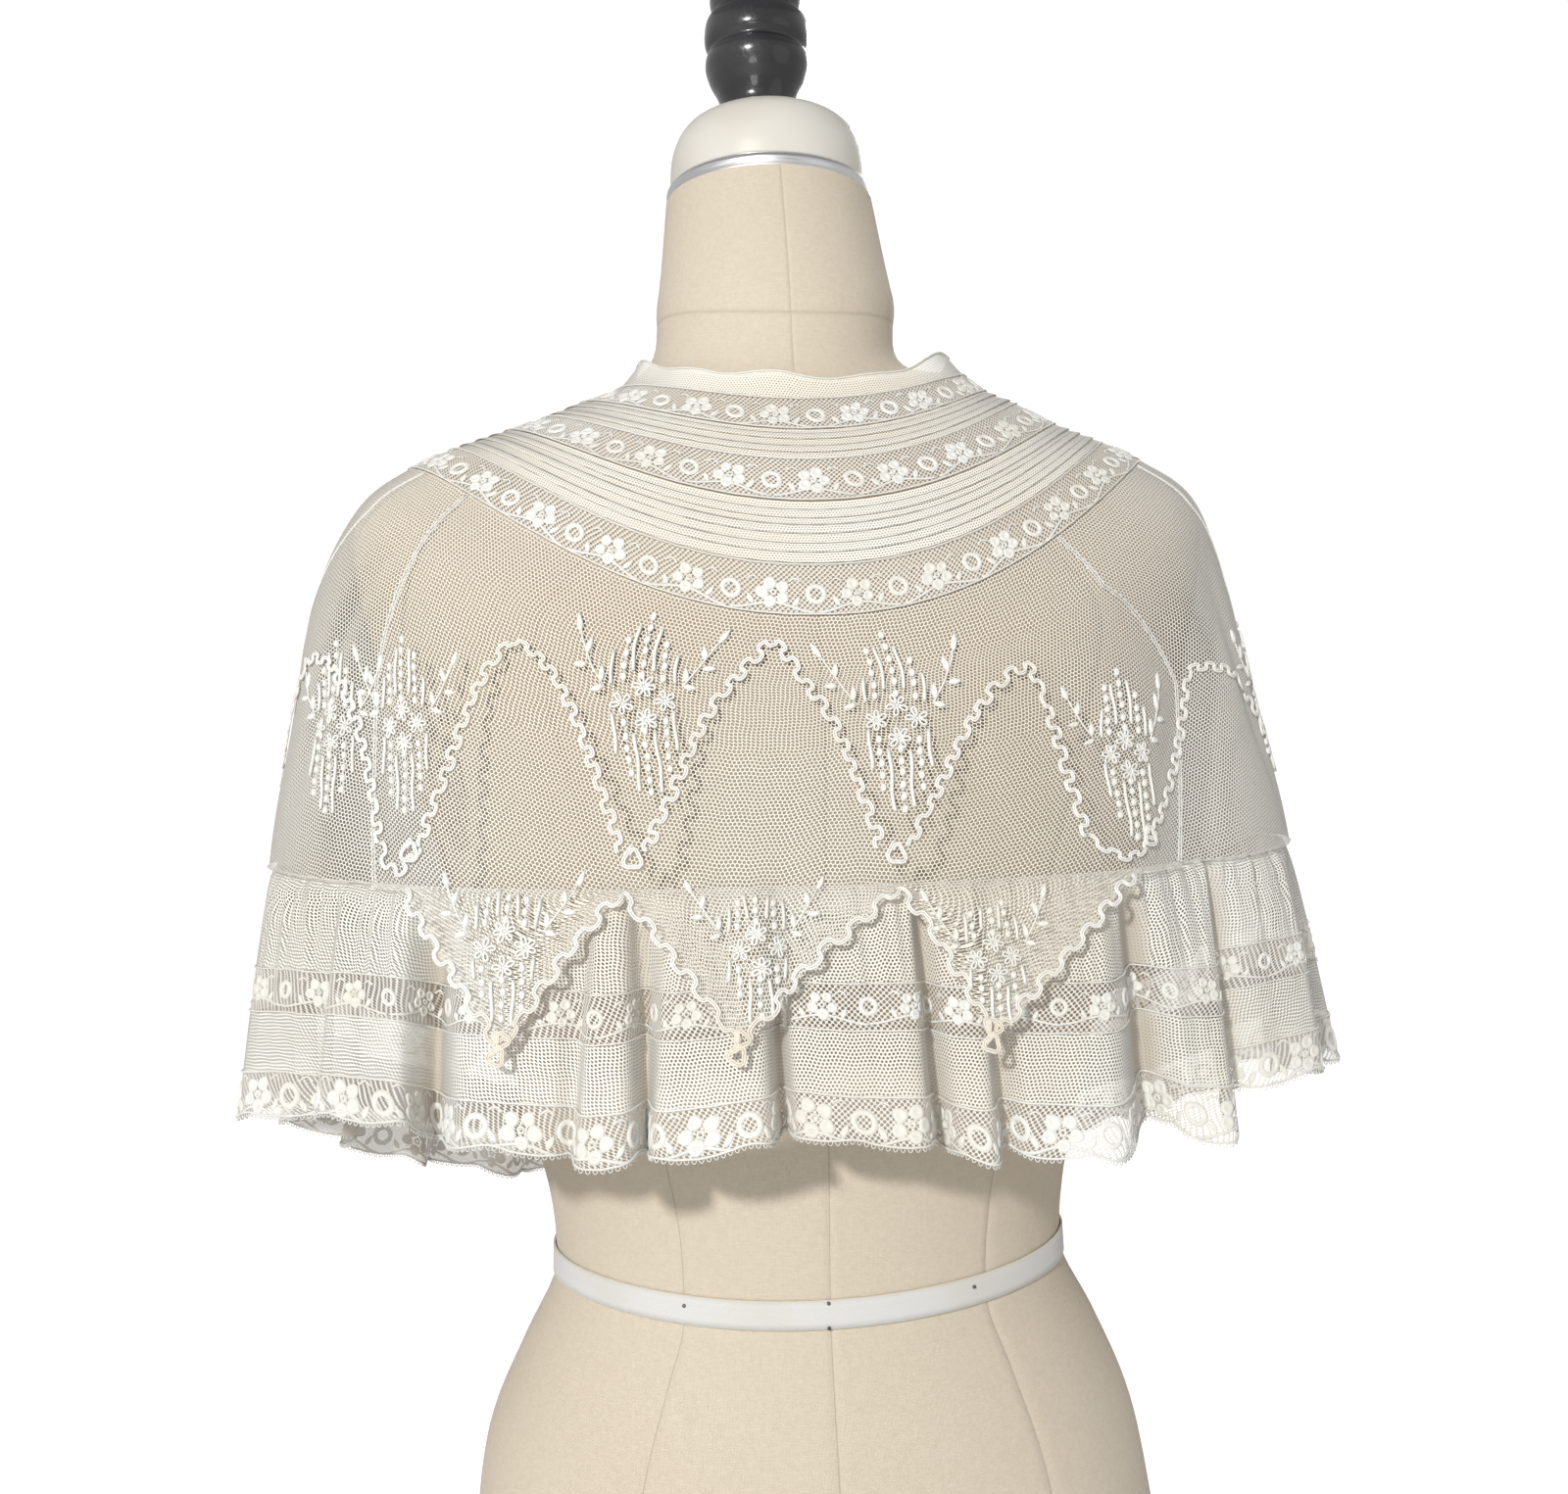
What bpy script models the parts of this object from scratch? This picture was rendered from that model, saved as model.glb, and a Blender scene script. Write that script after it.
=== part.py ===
"""Lace cape on a limbless dress form, about 0.88 m tall, front facing -Y.

The cape is a short shoulder cape: a yoke of three lace bands and two tucked net strips, a body
of net panels with vandyked flaps, and a gathered ruffle of net, insertion and edging. Every piece
is a closed cloth wall. One table of rings, from the neck to the hem, gives the cloth's shape, and
the dress form's shoulders follow the same rings from inside.
"""
import math

import bmesh
import bpy
import numpy as np

MM = 0.001

# Cloth and clearances
WALL_IN = 0.3 * MM
WALL_OUT = 1.5 * MM
FORM_CLEARANCE = 0.1 * MM
SHOULDER_EASE = 1.0 * MM
SEAM_GAP = 0.3 * MM
FRONT_EDGE = 178.0

# Steps for working out the cloth's direction and lengths
ANGLE_STEP = math.radians(0.5)
RING_STEP = 0.02
ARC_SAMPLES = 400

# Rings of the cape, one per row: heights at centre back, left, right and centre front, then how
# far the cloth reaches to the back, front, left and right, the squareness of the plan and how
# soon the height falls away from the centre line.
RINGS = {
    # z_back, z_left, z_right, z_front, back, front, left, right, squareness, sweep
    "neck_edge": (0.649, 0.667, 0.673, 0.612, 0.058, 0.066, 0.068, 0.081, 2.00, 2.0),
    "band_1_top": (0.6385, 0.656, 0.664, 0.597, 0.062, 0.074, 0.079, 0.089, 2.00, 2.1),
    "band_1_foot": (0.622, 0.649, 0.656, 0.581, 0.073, 0.086, 0.097, 0.099, 2.00, 2.1),
    "band_2_top": (0.607, 0.642, 0.650, 0.565, 0.083, 0.095, 0.114, 0.113, 2.00, 2.1),
    "band_2_foot": (0.587, 0.635, 0.639, 0.548, 0.092, 0.104, 0.132, 0.132, 2.05, 2.3),
    "band_3_top": (0.559, 0.626, 0.630, 0.520, 0.102, 0.114, 0.156, 0.153, 2.15, 2.4),
    "band_3_foot": (0.537, 0.617, 0.621, 0.502, 0.107, 0.120, 0.175, 0.172, 2.15, 2.5),
    "shoulder": (0.515, 0.599, 0.602, 0.480, 0.112, 0.126, 0.197, 0.196, 2.30, 2.4),
    "arm": (0.495, 0.560, 0.560, 0.458, 0.118, 0.133, 0.216, 0.210, 2.30, 2.2),
    "elbow": (0.465, 0.500, 0.500, 0.418, 0.127, 0.144, 0.227, 0.222, 2.30, 2.0),
    "ruffle_seam": (0.429, 0.4405, 0.4405, 0.362, 0.138, 0.155, 0.237, 0.234, 2.30, 1.3),
    "hem": (0.329, 0.340, 0.345, 0.252, 0.154, 0.166, 0.243, 0.241, 2.30, 0.8),
}
RING_NAMES = list(RINGS)
BAND_3_FOOT = RING_NAMES.index("band_3_foot")
SHOULDER = RING_NAMES.index("shoulder")
RUFFLE_SEAM = RING_NAMES.index("ruffle_seam")
HEM = RING_NAMES.index("hem")

# Seams between the net panels: ring position, then the angle of each seam in degrees from centre
# back, positive to the wearer's left.
SEAM_COLUMNS = ("ring", "shoulder_right", "back_right", "back_left", "shoulder_left")
SEAMS = (
    (6.0, -66.5, -37.0, 53.5, 67.0),
    (7.0, -67.0, -36.5, 52.5, 70.0),
    (8.5, -80.0, -47.0, 53.0, 84.0),
    (10.0, -86.0, -38.0, 47.5, 93.0),
)
# Soft vertical folds that the two back seams lie in: depth, and half width in degrees
SEAM_FOLDS = {"back_right": (9.0 * MM, 7.0), "back_left": (4.0 * MM, 6.0)}
SEAM_FOLD_TOP = 7.0
SEAM_FOLD_FULL = 8.5

# Vandyked flaps and the braid arches above them
BACK_JUNCTIONS = (-27.8, -3.9, 17.2, 41.4)
BACK_TIPS = (-10.2, 7.2, 27.8)
FRONT_FLAPS = 3
FLAP_STEPS_BACK = 6
FLAP_STEPS_FRONT = 4
GORE_STEPS = 6
JUNCTION_DROP = 0.03
TIP_DROP = 0.56
FLAP_ROWS = (0.45, 1.0)
FLAP_STANDOFF = 3.0 * MM

# Rings at which the panels have a row of points, from the lace band to the ruffle seam
PANEL_RINGS = (6.0, 7.0, 7.6, 8.4, 9.2, 10.0)

# Braid arches from the right side over the back to the left side. A leg's power is its curve:
# 1 is straight and a high power bulges out before it drops.
ARCHES = (
    # peak angle, peak ring, right foot, right power, left foot, left power
    (-50.0, 8.43, -84.0, 1.6, -33.2, 0.9),
    (-20.5, 7.62, -23.2, 4.0, -5.4, 1.65),
    (4.8, 6.52, -3.0, 1.8, 15.0, 1.1),
    (32.8, 7.58, 17.4, 2.2, 40.0, 1.35),
    (68.6, 8.45, 47.0, 2.6, 91.0, 1.6),
)
FRONT_PEAK_RING = 7.7
FRONT_POWER = 1.6
FRONT_FOOT_SPREAD = 1.5
ARCH_FOOT_RING = 9.76
ARCH_STEPS = 26
ARCH_CROWDING = 1.05
BRAID_WIDTH = 4.5 * MM
BRAID_THICKNESS = 1.0 * MM
BRAID_CLEARANCE = 0.8 * MM
EDGE_BRAID_WIDTH = 6.0 * MM
EDGE_BRAID_SHARE = 0.6
EDGE_BRAID_GAP = 2.0 * MM

# Tucks: how far each tuck's lower edge lies down its strip, as a share of the strip
TUCKS = {"tuck_strip_1": (0.38, 0.84), "tuck_strip_2": (0.30, 0.54, 0.82)}
TUCK_WIDTH_SHARE = {"tuck_strip_1": 0.24, "tuck_strip_2": 0.15}
TUCK_DROP_SHARE = 0.03
TUCK_HEIGHT = 0.9 * MM

# Ruffle: depth of each strip as a share of the whole ruffle, and its folds
RUFFLE_STRIPS = (
    ("ruffle_upper_net", 0.00, 0.39, 2),
    ("ruffle_insertion", 0.39, 0.545, 1),
    ("ruffle_lower_net", 0.545, 0.77, 1),
    ("ruffle_edging", 0.77, 1.00, 1),
)
RUFFLE_SET_BACK = 2.2 * MM
FOLD_HEIGHT = 15.0 * MM
FOLD_GROWTH = 0.55
FOLD_ROUNDING = 0.22
# Edges and valleys of the folds across the back, from right to left. Where a hem angle runs
# back against the order, the cloth folds under itself.
FOLDS = (
    # angle at the seam, angle at the hem, height from -1 in a valley to 1, rise of the hem in mm
    (-60.0, -54.0, 1.0, 11.0),
    (-48.0, -46.0, 0.2, 8.0),
    (-43.5, -42.5, -1.0, 3.0),
    (-41.5, -35.8, 1.0, -7.0),
    (-33.5, -31.5, 0.5, -4.0),
    (-28.5, -30.6, -1.2, 3.0),
    (-24.5, -21.3, 1.0, -6.0),
    (-13.9, -14.2, 0.3, -3.0),
    (-12.0, -12.4, -0.8, -1.6),
    (-10.0, -10.0, 0.85, -3.3),
    (-7.2, -7.6, 0.4, -1.0),
    (-5.6, -6.9, -1.0, 2.0),
    (-4.7, -4.6, 0.9, 6.0),
    (0.0, -0.6, 0.7, 7.0),
    (3.5, 3.2, 0.45, 11.0),
    (4.4, 3.9, -1.0, 9.0),
    (5.4, 5.3, 1.0, 10.0),
    (8.9, 10.0, 0.8, 6.0),
    (12.3, 14.5, 0.85, 3.8),
    (15.4, 15.4, -0.9, 5.6),
    (17.1, 16.2, 1.0, 4.3),
    (19.3, 20.7, 1.0, 2.0),
    (20.6, 22.0, 0.1, 4.3),
    (23.5, 23.4, 0.55, 6.0),
    (33.4, 31.9, 0.7, 8.0),
    (38.0, 40.2, -1.1, 4.0),
    (42.0, 37.8, 1.0, 16.0),
    (52.8, 50.7, 1.0, 15.3),
    (54.5, 54.0, -0.3, 8.0),
    (62.0, 60.0, 0.5, 10.0),
    (73.0, 70.0, 1.0, 4.0),
)
# Folds of the sides and front, which no edge of the picture shows
HIDDEN_FOLDS = 7
HIDDEN_UNEVENNESS = 0.18
HIDDEN_UNEVEN_PACE = 2.3

# Dress form below the shoulders: heights at centre back and at the sides, then the reach back,
# front, left and right and the squareness. The waist tape covers the two rings of the waist,
# which dip a little at the back.
FORM_RINGS = (
    # z_back, z_side, back, front, left, right, squareness
    (0.0000, 0.0000, 0.112, 0.108, 0.160, 0.166, 2.2),
    (0.0600, 0.0600, 0.118, 0.112, 0.163, 0.169, 2.2),
    (0.1310, 0.1310, 0.112, 0.108, 0.154, 0.160, 2.2),
    (0.1860, 0.1860, 0.100, 0.102, 0.145, 0.1505, 2.1),
    (0.2200, 0.2200, 0.092, 0.095, 0.1295, 0.1365, 2.0),
    (0.2435, 0.2500, 0.088, 0.092, 0.1152, 0.1222, 2.0),
    (0.2555, 0.2620, 0.088, 0.092, 0.1148, 0.1218, 2.0),
    (0.2800, 0.2840, 0.091, 0.098, 0.117, 0.124, 2.0),
    (0.3300, 0.3300, 0.097, 0.115, 0.130, 0.134, 2.1),
    (0.3950, 0.3950, 0.104, 0.140, 0.148, 0.150, 2.2),
    (0.4450, 0.4450, 0.110, 0.132, 0.166, 0.168, 2.3),
)
FORM_SWEEP = 2.0
WAIST_RINGS = (5, 6)
ARMHOLE_RING = (0.480, 0.520, 0.520, 0.462, 0.116, 0.128, 0.188, 0.187, 2.3, 2.0)
# Neck: heights at back, side and front, radius and how far the centre leans forward
NECK_RINGS = (
    (0.650, 0.668, 0.612, 0.0580, 0.004),
    (0.700, 0.706, 0.680, 0.0560, 0.012),
    (0.7606, 0.7606, 0.7606, 0.0515, 0.028),
)
NECK_TOP = 0.7606
NECK_LEAN = 0.028
TAPE_THICKNESS = 1.2 * MM
# Turned profiles on the neck's top: radius and height above the neck's top
RIM_PROFILE = ((0.0500, 0.0003), (0.0505, 0.0010), (0.0505, 0.0060), (0.0495, 0.0067))
CAP_PROFILE = ((0.0490, 0.0070), (0.0490, 0.0130), (0.0455, 0.0240), (0.0370, 0.0350),
               (0.0270, 0.0420), (0.0200, 0.0440))
FINIAL_PROFILE = ((0.0190, 0.0443), (0.0186, 0.0490), (0.0235, 0.0560), (0.0262, 0.0660),
                  (0.0250, 0.0715), (0.0232, 0.0740), (0.0256, 0.0775), (0.0262, 0.0840),
                  (0.0245, 0.0905), (0.0215, 0.0935), (0.0225, 0.0970), (0.0235, 0.1030),
                  (0.0200, 0.1110), (0.0120, 0.1165), (0.0050, 0.1180))
TURNED_SEGMENTS = 24
FINIAL_SHIFT = 4.0 * MM

FINISHES = {
    "cotton_net": ((0.86, 0.84, 0.78), 0.9, 0.0),
    "cotton_lace": ((0.93, 0.92, 0.88), 0.85, 0.0),
    "soutache_braid": ((0.90, 0.88, 0.82), 0.7, 0.0),
    "linen": ((0.76, 0.68, 0.55), 0.85, 0.0),
    "aluminium": ((0.80, 0.81, 0.82), 0.3, 1.0),
    "cream_plastic": ((0.88, 0.86, 0.80), 0.45, 0.0),
    "black_lacquer": ((0.02, 0.02, 0.022), 0.18, 0.0),
    "cotton_tape": ((0.90, 0.90, 0.87), 0.8, 0.0),
}


def clear_scene():
    for item in list(bpy.data.objects):
        bpy.data.objects.remove(item, do_unlink=True)


def finish(item, kind):
    """Gives an object its own Principled material, in one of the part's finishes."""
    colour, roughness, metallic = FINISHES[kind]
    material = bpy.data.materials.new(item.name + "_" + kind)
    material.use_nodes = True
    shader = material.node_tree.nodes["Principled BSDF"]
    shader.inputs["Base Color"].default_value = (*colour, 1.0)
    shader.inputs["Roughness"].default_value = roughness
    shader.inputs["Metallic"].default_value = metallic
    item.data.materials.append(material)


def add_object(name, kind, points, faces):
    """Makes one closed body from points and faces, with every face turned outwards."""
    mesh = bpy.data.meshes.new(name)
    mesh.from_pydata([tuple(p) for p in points], [], faces)
    work = bmesh.new()
    work.from_mesh(mesh)
    # Quads split from their first corner, so that a wall and what it lies on share each crease
    bmesh.ops.triangulate(work, faces=work.faces, quad_method="FIXED", ngon_method="EAR_CLIP")
    bmesh.ops.recalc_face_normals(work, faces=work.faces)
    work.to_mesh(mesh)
    work.free()
    mesh.shade_smooth()
    mesh.set_sharp_from_angle(angle=math.radians(35))
    item = bpy.data.objects.new(name, mesh)
    bpy.context.scene.collection.objects.link(item)
    finish(item, kind)
    return item


# Surface of the cloth


def ring_values(ring):
    """The ring table at any position between its rows, as one smooth curve a column."""
    table = np.array(list(RINGS.values()))
    ring = np.clip(np.asarray(ring, float), 0.0, HEM)
    low = np.minimum(np.floor(ring).astype(int), HEM - 1)
    part = (ring - low)[..., None]
    before = table[np.maximum(low - 1, 0)]
    start = table[low]
    end = table[low + 1]
    after = table[np.minimum(low + 2, HEM)]
    slope_start = (end - before) / 2
    slope_end = (after - start) / 2
    eased = 3 * part ** 2 - 2 * part ** 3
    leaving = part ** 3 - 2 * part ** 2 + part
    arriving = part ** 3 - part ** 2
    return (1 - eased) * start + eased * end + leaving * slope_start + arriving * slope_end


def place_on_ring(values, angle):
    """Points on a squared oval ring whose height follows the angle from centre back."""
    columns = np.moveaxis(values, -1, 0)
    z_back, z_left, z_right, z_front, back, front, left, right, square, sweep = columns
    toward_back, toward_left = np.cos(angle), np.sin(angle)
    half_width = np.where(toward_left >= 0, left, right)
    depth = np.where(toward_back >= 0, back, front)
    z_side = (z_left + z_right) / 2 + (z_left - z_right) / 2 * toward_left
    z_middle = np.where(toward_back >= 0, z_back, z_front)
    x = half_width * np.sign(toward_left) * np.abs(toward_left) ** (2 / square)
    y = depth * np.sign(toward_back) * np.abs(toward_back) ** (2 / square)
    z = z_side + (z_middle - z_side) * np.abs(toward_back) ** sweep
    return np.stack([x, y, z], -1)


def seam_angle(name, ring):
    rows = np.array(SEAMS)
    return np.interp(ring, rows[:, 0], rows[:, SEAM_COLUMNS.index(name)])


def seam_fold_depth(ring, angle):
    """How far the net dips into the soft folds along the two back seams."""
    grown = np.clip((ring - SEAM_FOLD_TOP) / (SEAM_FOLD_FULL - SEAM_FOLD_TOP), 0.0, 1.0)
    depth = np.zeros(np.broadcast(ring, angle).shape)
    for name, (fold_depth, width) in SEAM_FOLDS.items():
        away = (np.degrees(angle) - seam_angle(name, ring)) / width
        depth = depth + fold_depth * grown * np.exp(-away ** 2)
    return depth


def plain_point(ring, angle):
    return place_on_ring(ring_values(ring), angle)


def cloth_point(ring, angle, out=0.0, fold=0.0):
    """Points of the cape's cloth, moved out along its own normal and by the height of a fold."""
    ring, angle = np.broadcast_arrays(np.asarray(ring, float), np.asarray(angle, float))
    across = plain_point(ring, angle + ANGLE_STEP) - plain_point(ring, angle - ANGLE_STEP)
    below = plain_point(np.minimum(ring + RING_STEP, HEM), angle)
    above = plain_point(np.maximum(ring - RING_STEP, 0.0), angle)
    normal = np.cross(across, below - above)
    normal = normal / np.linalg.norm(normal, axis=-1, keepdims=True)
    level = normal * np.array([1.0, 1.0, 0.0])
    level = level / np.linalg.norm(level, axis=-1, keepdims=True)
    left_of_dip = 1 - np.clip(ring - RUFFLE_SEAM, 0.0, 1.0)
    height = fold - seam_fold_depth(ring, angle) * left_of_dip
    return plain_point(ring, angle) + normal * out + level * height[..., None]


# Folds of the ruffle


def even_angles(ring, start, end, parts):
    """Angles that divide a stretch of ring into equal lengths."""
    fine = np.radians(np.linspace(start, end, ARC_SAMPLES))
    points = plain_point(np.full(fine.shape, float(ring)), fine)
    lengths = np.linalg.norm(np.diff(points, axis=0), axis=1)
    travelled = np.concatenate([[0.0], np.cumsum(lengths)])
    return np.degrees(np.interp(np.linspace(0, travelled[-1], parts + 1), travelled, fine))


def hidden_folds(side):
    """Even folds from the last one that shows round to one front edge."""
    start = FOLDS[-1] if side > 0 else FOLDS[0]
    seam = even_angles(RUFFLE_SEAM, start[0], side * FRONT_EDGE, 2 * HIDDEN_FOLDS)
    hem = even_angles(HEM, start[1], side * FRONT_EDGE, 2 * HIDDEN_FOLDS)
    rows = []
    for index in range(1, 2 * HIDDEN_FOLDS + 1):
        uneven = 1 + HIDDEN_UNEVENNESS * math.sin(HIDDEN_UNEVEN_PACE * index + side)
        height = uneven if index % 2 == 0 else -uneven
        last = index == 2 * HIDDEN_FOLDS
        rows.append((seam[index], hem[index], 0.0 if last else height, 0.0))
    return rows


def fold_table():
    """Every fold edge and valley from the right front edge round the back to the left one."""
    return np.array(hidden_folds(-1)[::-1] + list(FOLDS) + hidden_folds(1))


def fold_columns(table):
    """Two columns between neighbouring rows of the fold table, set back from each of them."""
    columns = [table[0]]
    for start, end in zip(table, table[1:]):
        for part in (FOLD_ROUNDING, 1 - FOLD_ROUNDING):
            eased = (1 - math.cos(math.pi * part)) / 2
            share = np.array([part, part, eased, part])
            columns.append(start + (end - start) * share)
    return np.array(columns + [table[-1]]).T


def fold_growth(share):
    """How much of a fold's full height it has reached, part of the way down the ruffle."""
    return np.clip(share, 0.0, 1.0) ** FOLD_GROWTH


# Closed cloth walls


def pull_in(grid, gap, rows=True, columns=True):
    """Moves a grid's border inwards by half a seam gap, so that neighbours stay apart."""
    grid = grid.copy()
    pairs = []
    if rows:
        pairs += [((0, slice(None)), (1, slice(None))), ((-1, slice(None)), (-2, slice(None)))]
    if columns:
        pairs += [((slice(None), 0), (slice(None), 1)), ((slice(None), -1), (slice(None), -2))]
    for edge, inner in pairs:
        away = grid[inner] - grid[edge]
        grid[edge] += away / np.linalg.norm(away, axis=-1, keepdims=True) * gap / 2
    return grid


def wall_body(name, kind, outer, inner):
    """Closes two grids with the same columns into one wall; their row counts may differ."""
    rows_out, columns = outer.shape[:2]
    rows_in = inner.shape[0]
    offset = rows_out * columns
    points = np.concatenate([outer.reshape(-1, 3), inner.reshape(-1, 3)])

    def out(row, column):
        return row * columns + column

    def back(row, column):
        return offset + row * columns + column

    faces = []
    for column in range(columns - 1):
        for row in range(rows_out - 1):
            faces.append((out(row, column), out(row + 1, column),
                          out(row + 1, column + 1), out(row, column + 1)))
        for row in range(rows_in - 1):
            faces.append((back(row, column), back(row, column + 1),
                          back(row + 1, column + 1), back(row + 1, column)))
        faces.append((out(0, column), out(0, column + 1), back(0, column + 1), back(0, column)))
        faces.append((out(rows_out - 1, column), back(rows_in - 1, column),
                      back(rows_in - 1, column + 1), out(rows_out - 1, column + 1)))
    for column in (0, columns - 1):
        if rows_out == rows_in:
            for row in range(rows_out - 1):
                faces.append((out(row, column), out(row + 1, column),
                              back(row + 1, column), back(row, column)))
        else:
            faces.append([out(row, column) for row in range(rows_out)]
                         + [back(row, column) for row in reversed(range(rows_in))])
    return add_object(name, kind, points, faces)


# Columns shared by the yoke, the panels and the form's shoulders


def front_junctions(side):
    """Where the front flaps meet, in rising order, from a shoulder seam to the front edge."""
    seam = "shoulder_left" if side > 0 else "shoulder_right"
    start = side * seam_angle(seam, RUFFLE_SEAM)
    return sorted(side * even_angles(RUFFLE_SEAM, start, FRONT_EDGE, FRONT_FLAPS))


def flap_stations(junctions, tips, steps):
    """Angles across a row of flaps: each junction, each tip and even steps between them."""
    stations = [junctions[0]]
    for start, tip, end in zip(junctions, tips, junctions[1:]):
        half = steps // 2
        stations += [start + (tip - start) * i / half for i in range(1, half + 1)]
        stations += [tip + (end - tip) * i / half for i in range(1, half + 1)]
    return stations


def middles(values):
    return [(a + b) / 2 for a, b in zip(values, values[1:])]


def panel_plan():
    """Each panel: its two seams, and its columns as angles at the ruffle seam."""
    low = {name: seam_angle(name, RUFFLE_SEAM) for name in SEAM_COLUMNS[1:]}
    right = front_junctions(-1)
    left = front_junctions(1)
    columns = {
        "front_right": flap_stations(right, middles(right), FLAP_STEPS_FRONT),
        "side_gore_right": np.linspace(low["shoulder_right"], low["back_right"], GORE_STEPS + 1),
        "back_panel": [low["back_right"],
                       *flap_stations(BACK_JUNCTIONS, BACK_TIPS, FLAP_STEPS_BACK),
                       low["back_left"]],
        "side_gore_left": np.linspace(low["back_left"], low["shoulder_left"], GORE_STEPS + 1),
        "front_left": flap_stations(left, middles(left), FLAP_STEPS_FRONT),
    }
    seams = (None, *SEAM_COLUMNS[1:], None)
    return {name: (seams[index], seams[index + 1], list(angles))
            for index, (name, angles) in enumerate(columns.items())}


PLAN = panel_plan()
# Junctions and tips of the panels that end in flaps
FLAP_PANELS = {
    "front_right": (front_junctions(-1), middles(front_junctions(-1))),
    "back_panel": (BACK_JUNCTIONS, BACK_TIPS),
    "front_left": (front_junctions(1), middles(front_junctions(1))),
}


def panel_angles(name, ring):
    """The panel's columns at a ring position, leaning with the panel's two seams."""
    first, last, stations = PLAN[name]
    start = -FRONT_EDGE if first is None else seam_angle(first, ring)
    end = FRONT_EDGE if last is None else seam_angle(last, ring)
    share = (np.array(stations) - stations[0]) / (stations[-1] - stations[0])
    return start + (end - start) * share


def shared_angles(ring):
    """All columns round the cape at one ring position, in radians."""
    columns = []
    for name in PLAN:
        columns += list(panel_angles(name, ring))[:-1]
    return np.radians(columns + [FRONT_EDGE])


# Pieces of the cape


def strip(name, kind, first, last, outer_rows=None):
    """A yoke strip between two rings; outer_rows holds (ring, extra height) of its face."""
    angles = shared_angles(BAND_3_FOOT)
    outer_rows = outer_rows or [(first, 0.0), (last, 0.0)]
    outer = np.stack([cloth_point(ring, angles, WALL_OUT + extra) for ring, extra in outer_rows])
    inner = np.stack([cloth_point(ring, angles, WALL_IN) for ring in (first, last)])
    return wall_body(name, kind, pull_in(outer, SEAM_GAP, columns=False),
                     pull_in(inner, SEAM_GAP, columns=False))


def tuck_rows(name, first):
    """Face of a tucked strip: each tuck rises to its lower edge and drops back."""
    rows = [(first, 0.0)]
    for edge in TUCKS[name]:
        rows.append((first + edge - TUCK_WIDTH_SHARE[name], 0.0))
        rows.append((first + edge, TUCK_HEIGHT))
        rows.append((first + edge + TUCK_DROP_SHARE, 0.0))
    return rows + [(first + 1, 0.0)]


def make_yoke():
    strip("neck_band", "cotton_net", 0, 1)
    strip("lace_band_1", "cotton_lace", 1, 2)
    strip("tuck_strip_1", "cotton_net", 2, 3, tuck_rows("tuck_strip_1", 2))
    strip("lace_band_2", "cotton_lace", 3, 4)
    strip("tuck_strip_2", "cotton_net", 4, 5, tuck_rows("tuck_strip_2", 4))
    strip("lace_band_3", "cotton_lace", 5, 6)


def flap_edge(name):
    """How far each column of a panel hangs below the ruffle seam, as a share of the ruffle."""
    stations = PLAN[name][2]
    if name not in FLAP_PANELS:
        return np.full(len(stations), JUNCTION_DROP)
    junctions, tips = FLAP_PANELS[name]
    places = sorted([(place, JUNCTION_DROP) for place in junctions]
                    + [(place, TIP_DROP) for place in tips])
    return np.interp(stations, [place[0] for place in places], [place[1] for place in places])


def panel_grid(name, out):
    """Points of a panel's face or back, from the lace band's foot to the flaps' edge."""
    edge = flap_edge(name)
    low = np.radians(panel_angles(name, RUFFLE_SEAM))
    rows = [cloth_point(ring, np.radians(panel_angles(name, ring)), out) for ring in PANEL_RINGS]
    for part in FLAP_ROWS if name in FLAP_PANELS else FLAP_ROWS[-1:]:
        hanging = edge * part
        fold = (FOLD_HEIGHT + FLAP_STANDOFF) * fold_growth(hanging)
        rows.append(cloth_point(RUFFLE_SEAM + hanging, low, out, fold))
    return np.stack(rows)


def make_panels():
    for name in PLAN:
        outer = pull_in(panel_grid(name, WALL_OUT), SEAM_GAP)
        inner = pull_in(panel_grid(name, WALL_IN), SEAM_GAP)
        wall_body(name, "cotton_net", outer, inner)


def ruffle_grid(shares):
    """Points of the ruffle at shares of its depth, along the columns of the fold table."""
    seam_angles, hem_angles, heights, rises = fold_columns(fold_table())
    rows = []
    for share in shares:
        angles = np.radians(seam_angles + (hem_angles - seam_angles) * share)
        fold = FOLD_HEIGHT * heights * fold_growth(share)
        points = cloth_point(RUFFLE_SEAM + share, angles, -RUFFLE_SET_BACK, fold)
        points[:, 2] += rises * share * MM
        rows.append(points)
    return np.stack(rows)


def grid_normals(grid):
    """Directions square to a folded grid, so that its wall is as thick on a fold's side."""
    normal = np.cross(np.gradient(grid, axis=1), np.gradient(grid, axis=0))
    return normal / np.linalg.norm(normal, axis=-1, keepdims=True)


def make_ruffle():
    half = (WALL_OUT - WALL_IN) / 2
    for name, top, foot, steps in RUFFLE_STRIPS:
        kind = "cotton_net" if name.endswith("net") else "cotton_lace"
        grid = pull_in(ruffle_grid(np.linspace(top, foot, steps + 1)), SEAM_GAP, columns=False)
        normal = grid_normals(grid) * half
        wall_body(name, kind, grid + normal, grid - normal)


# Braid


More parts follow.
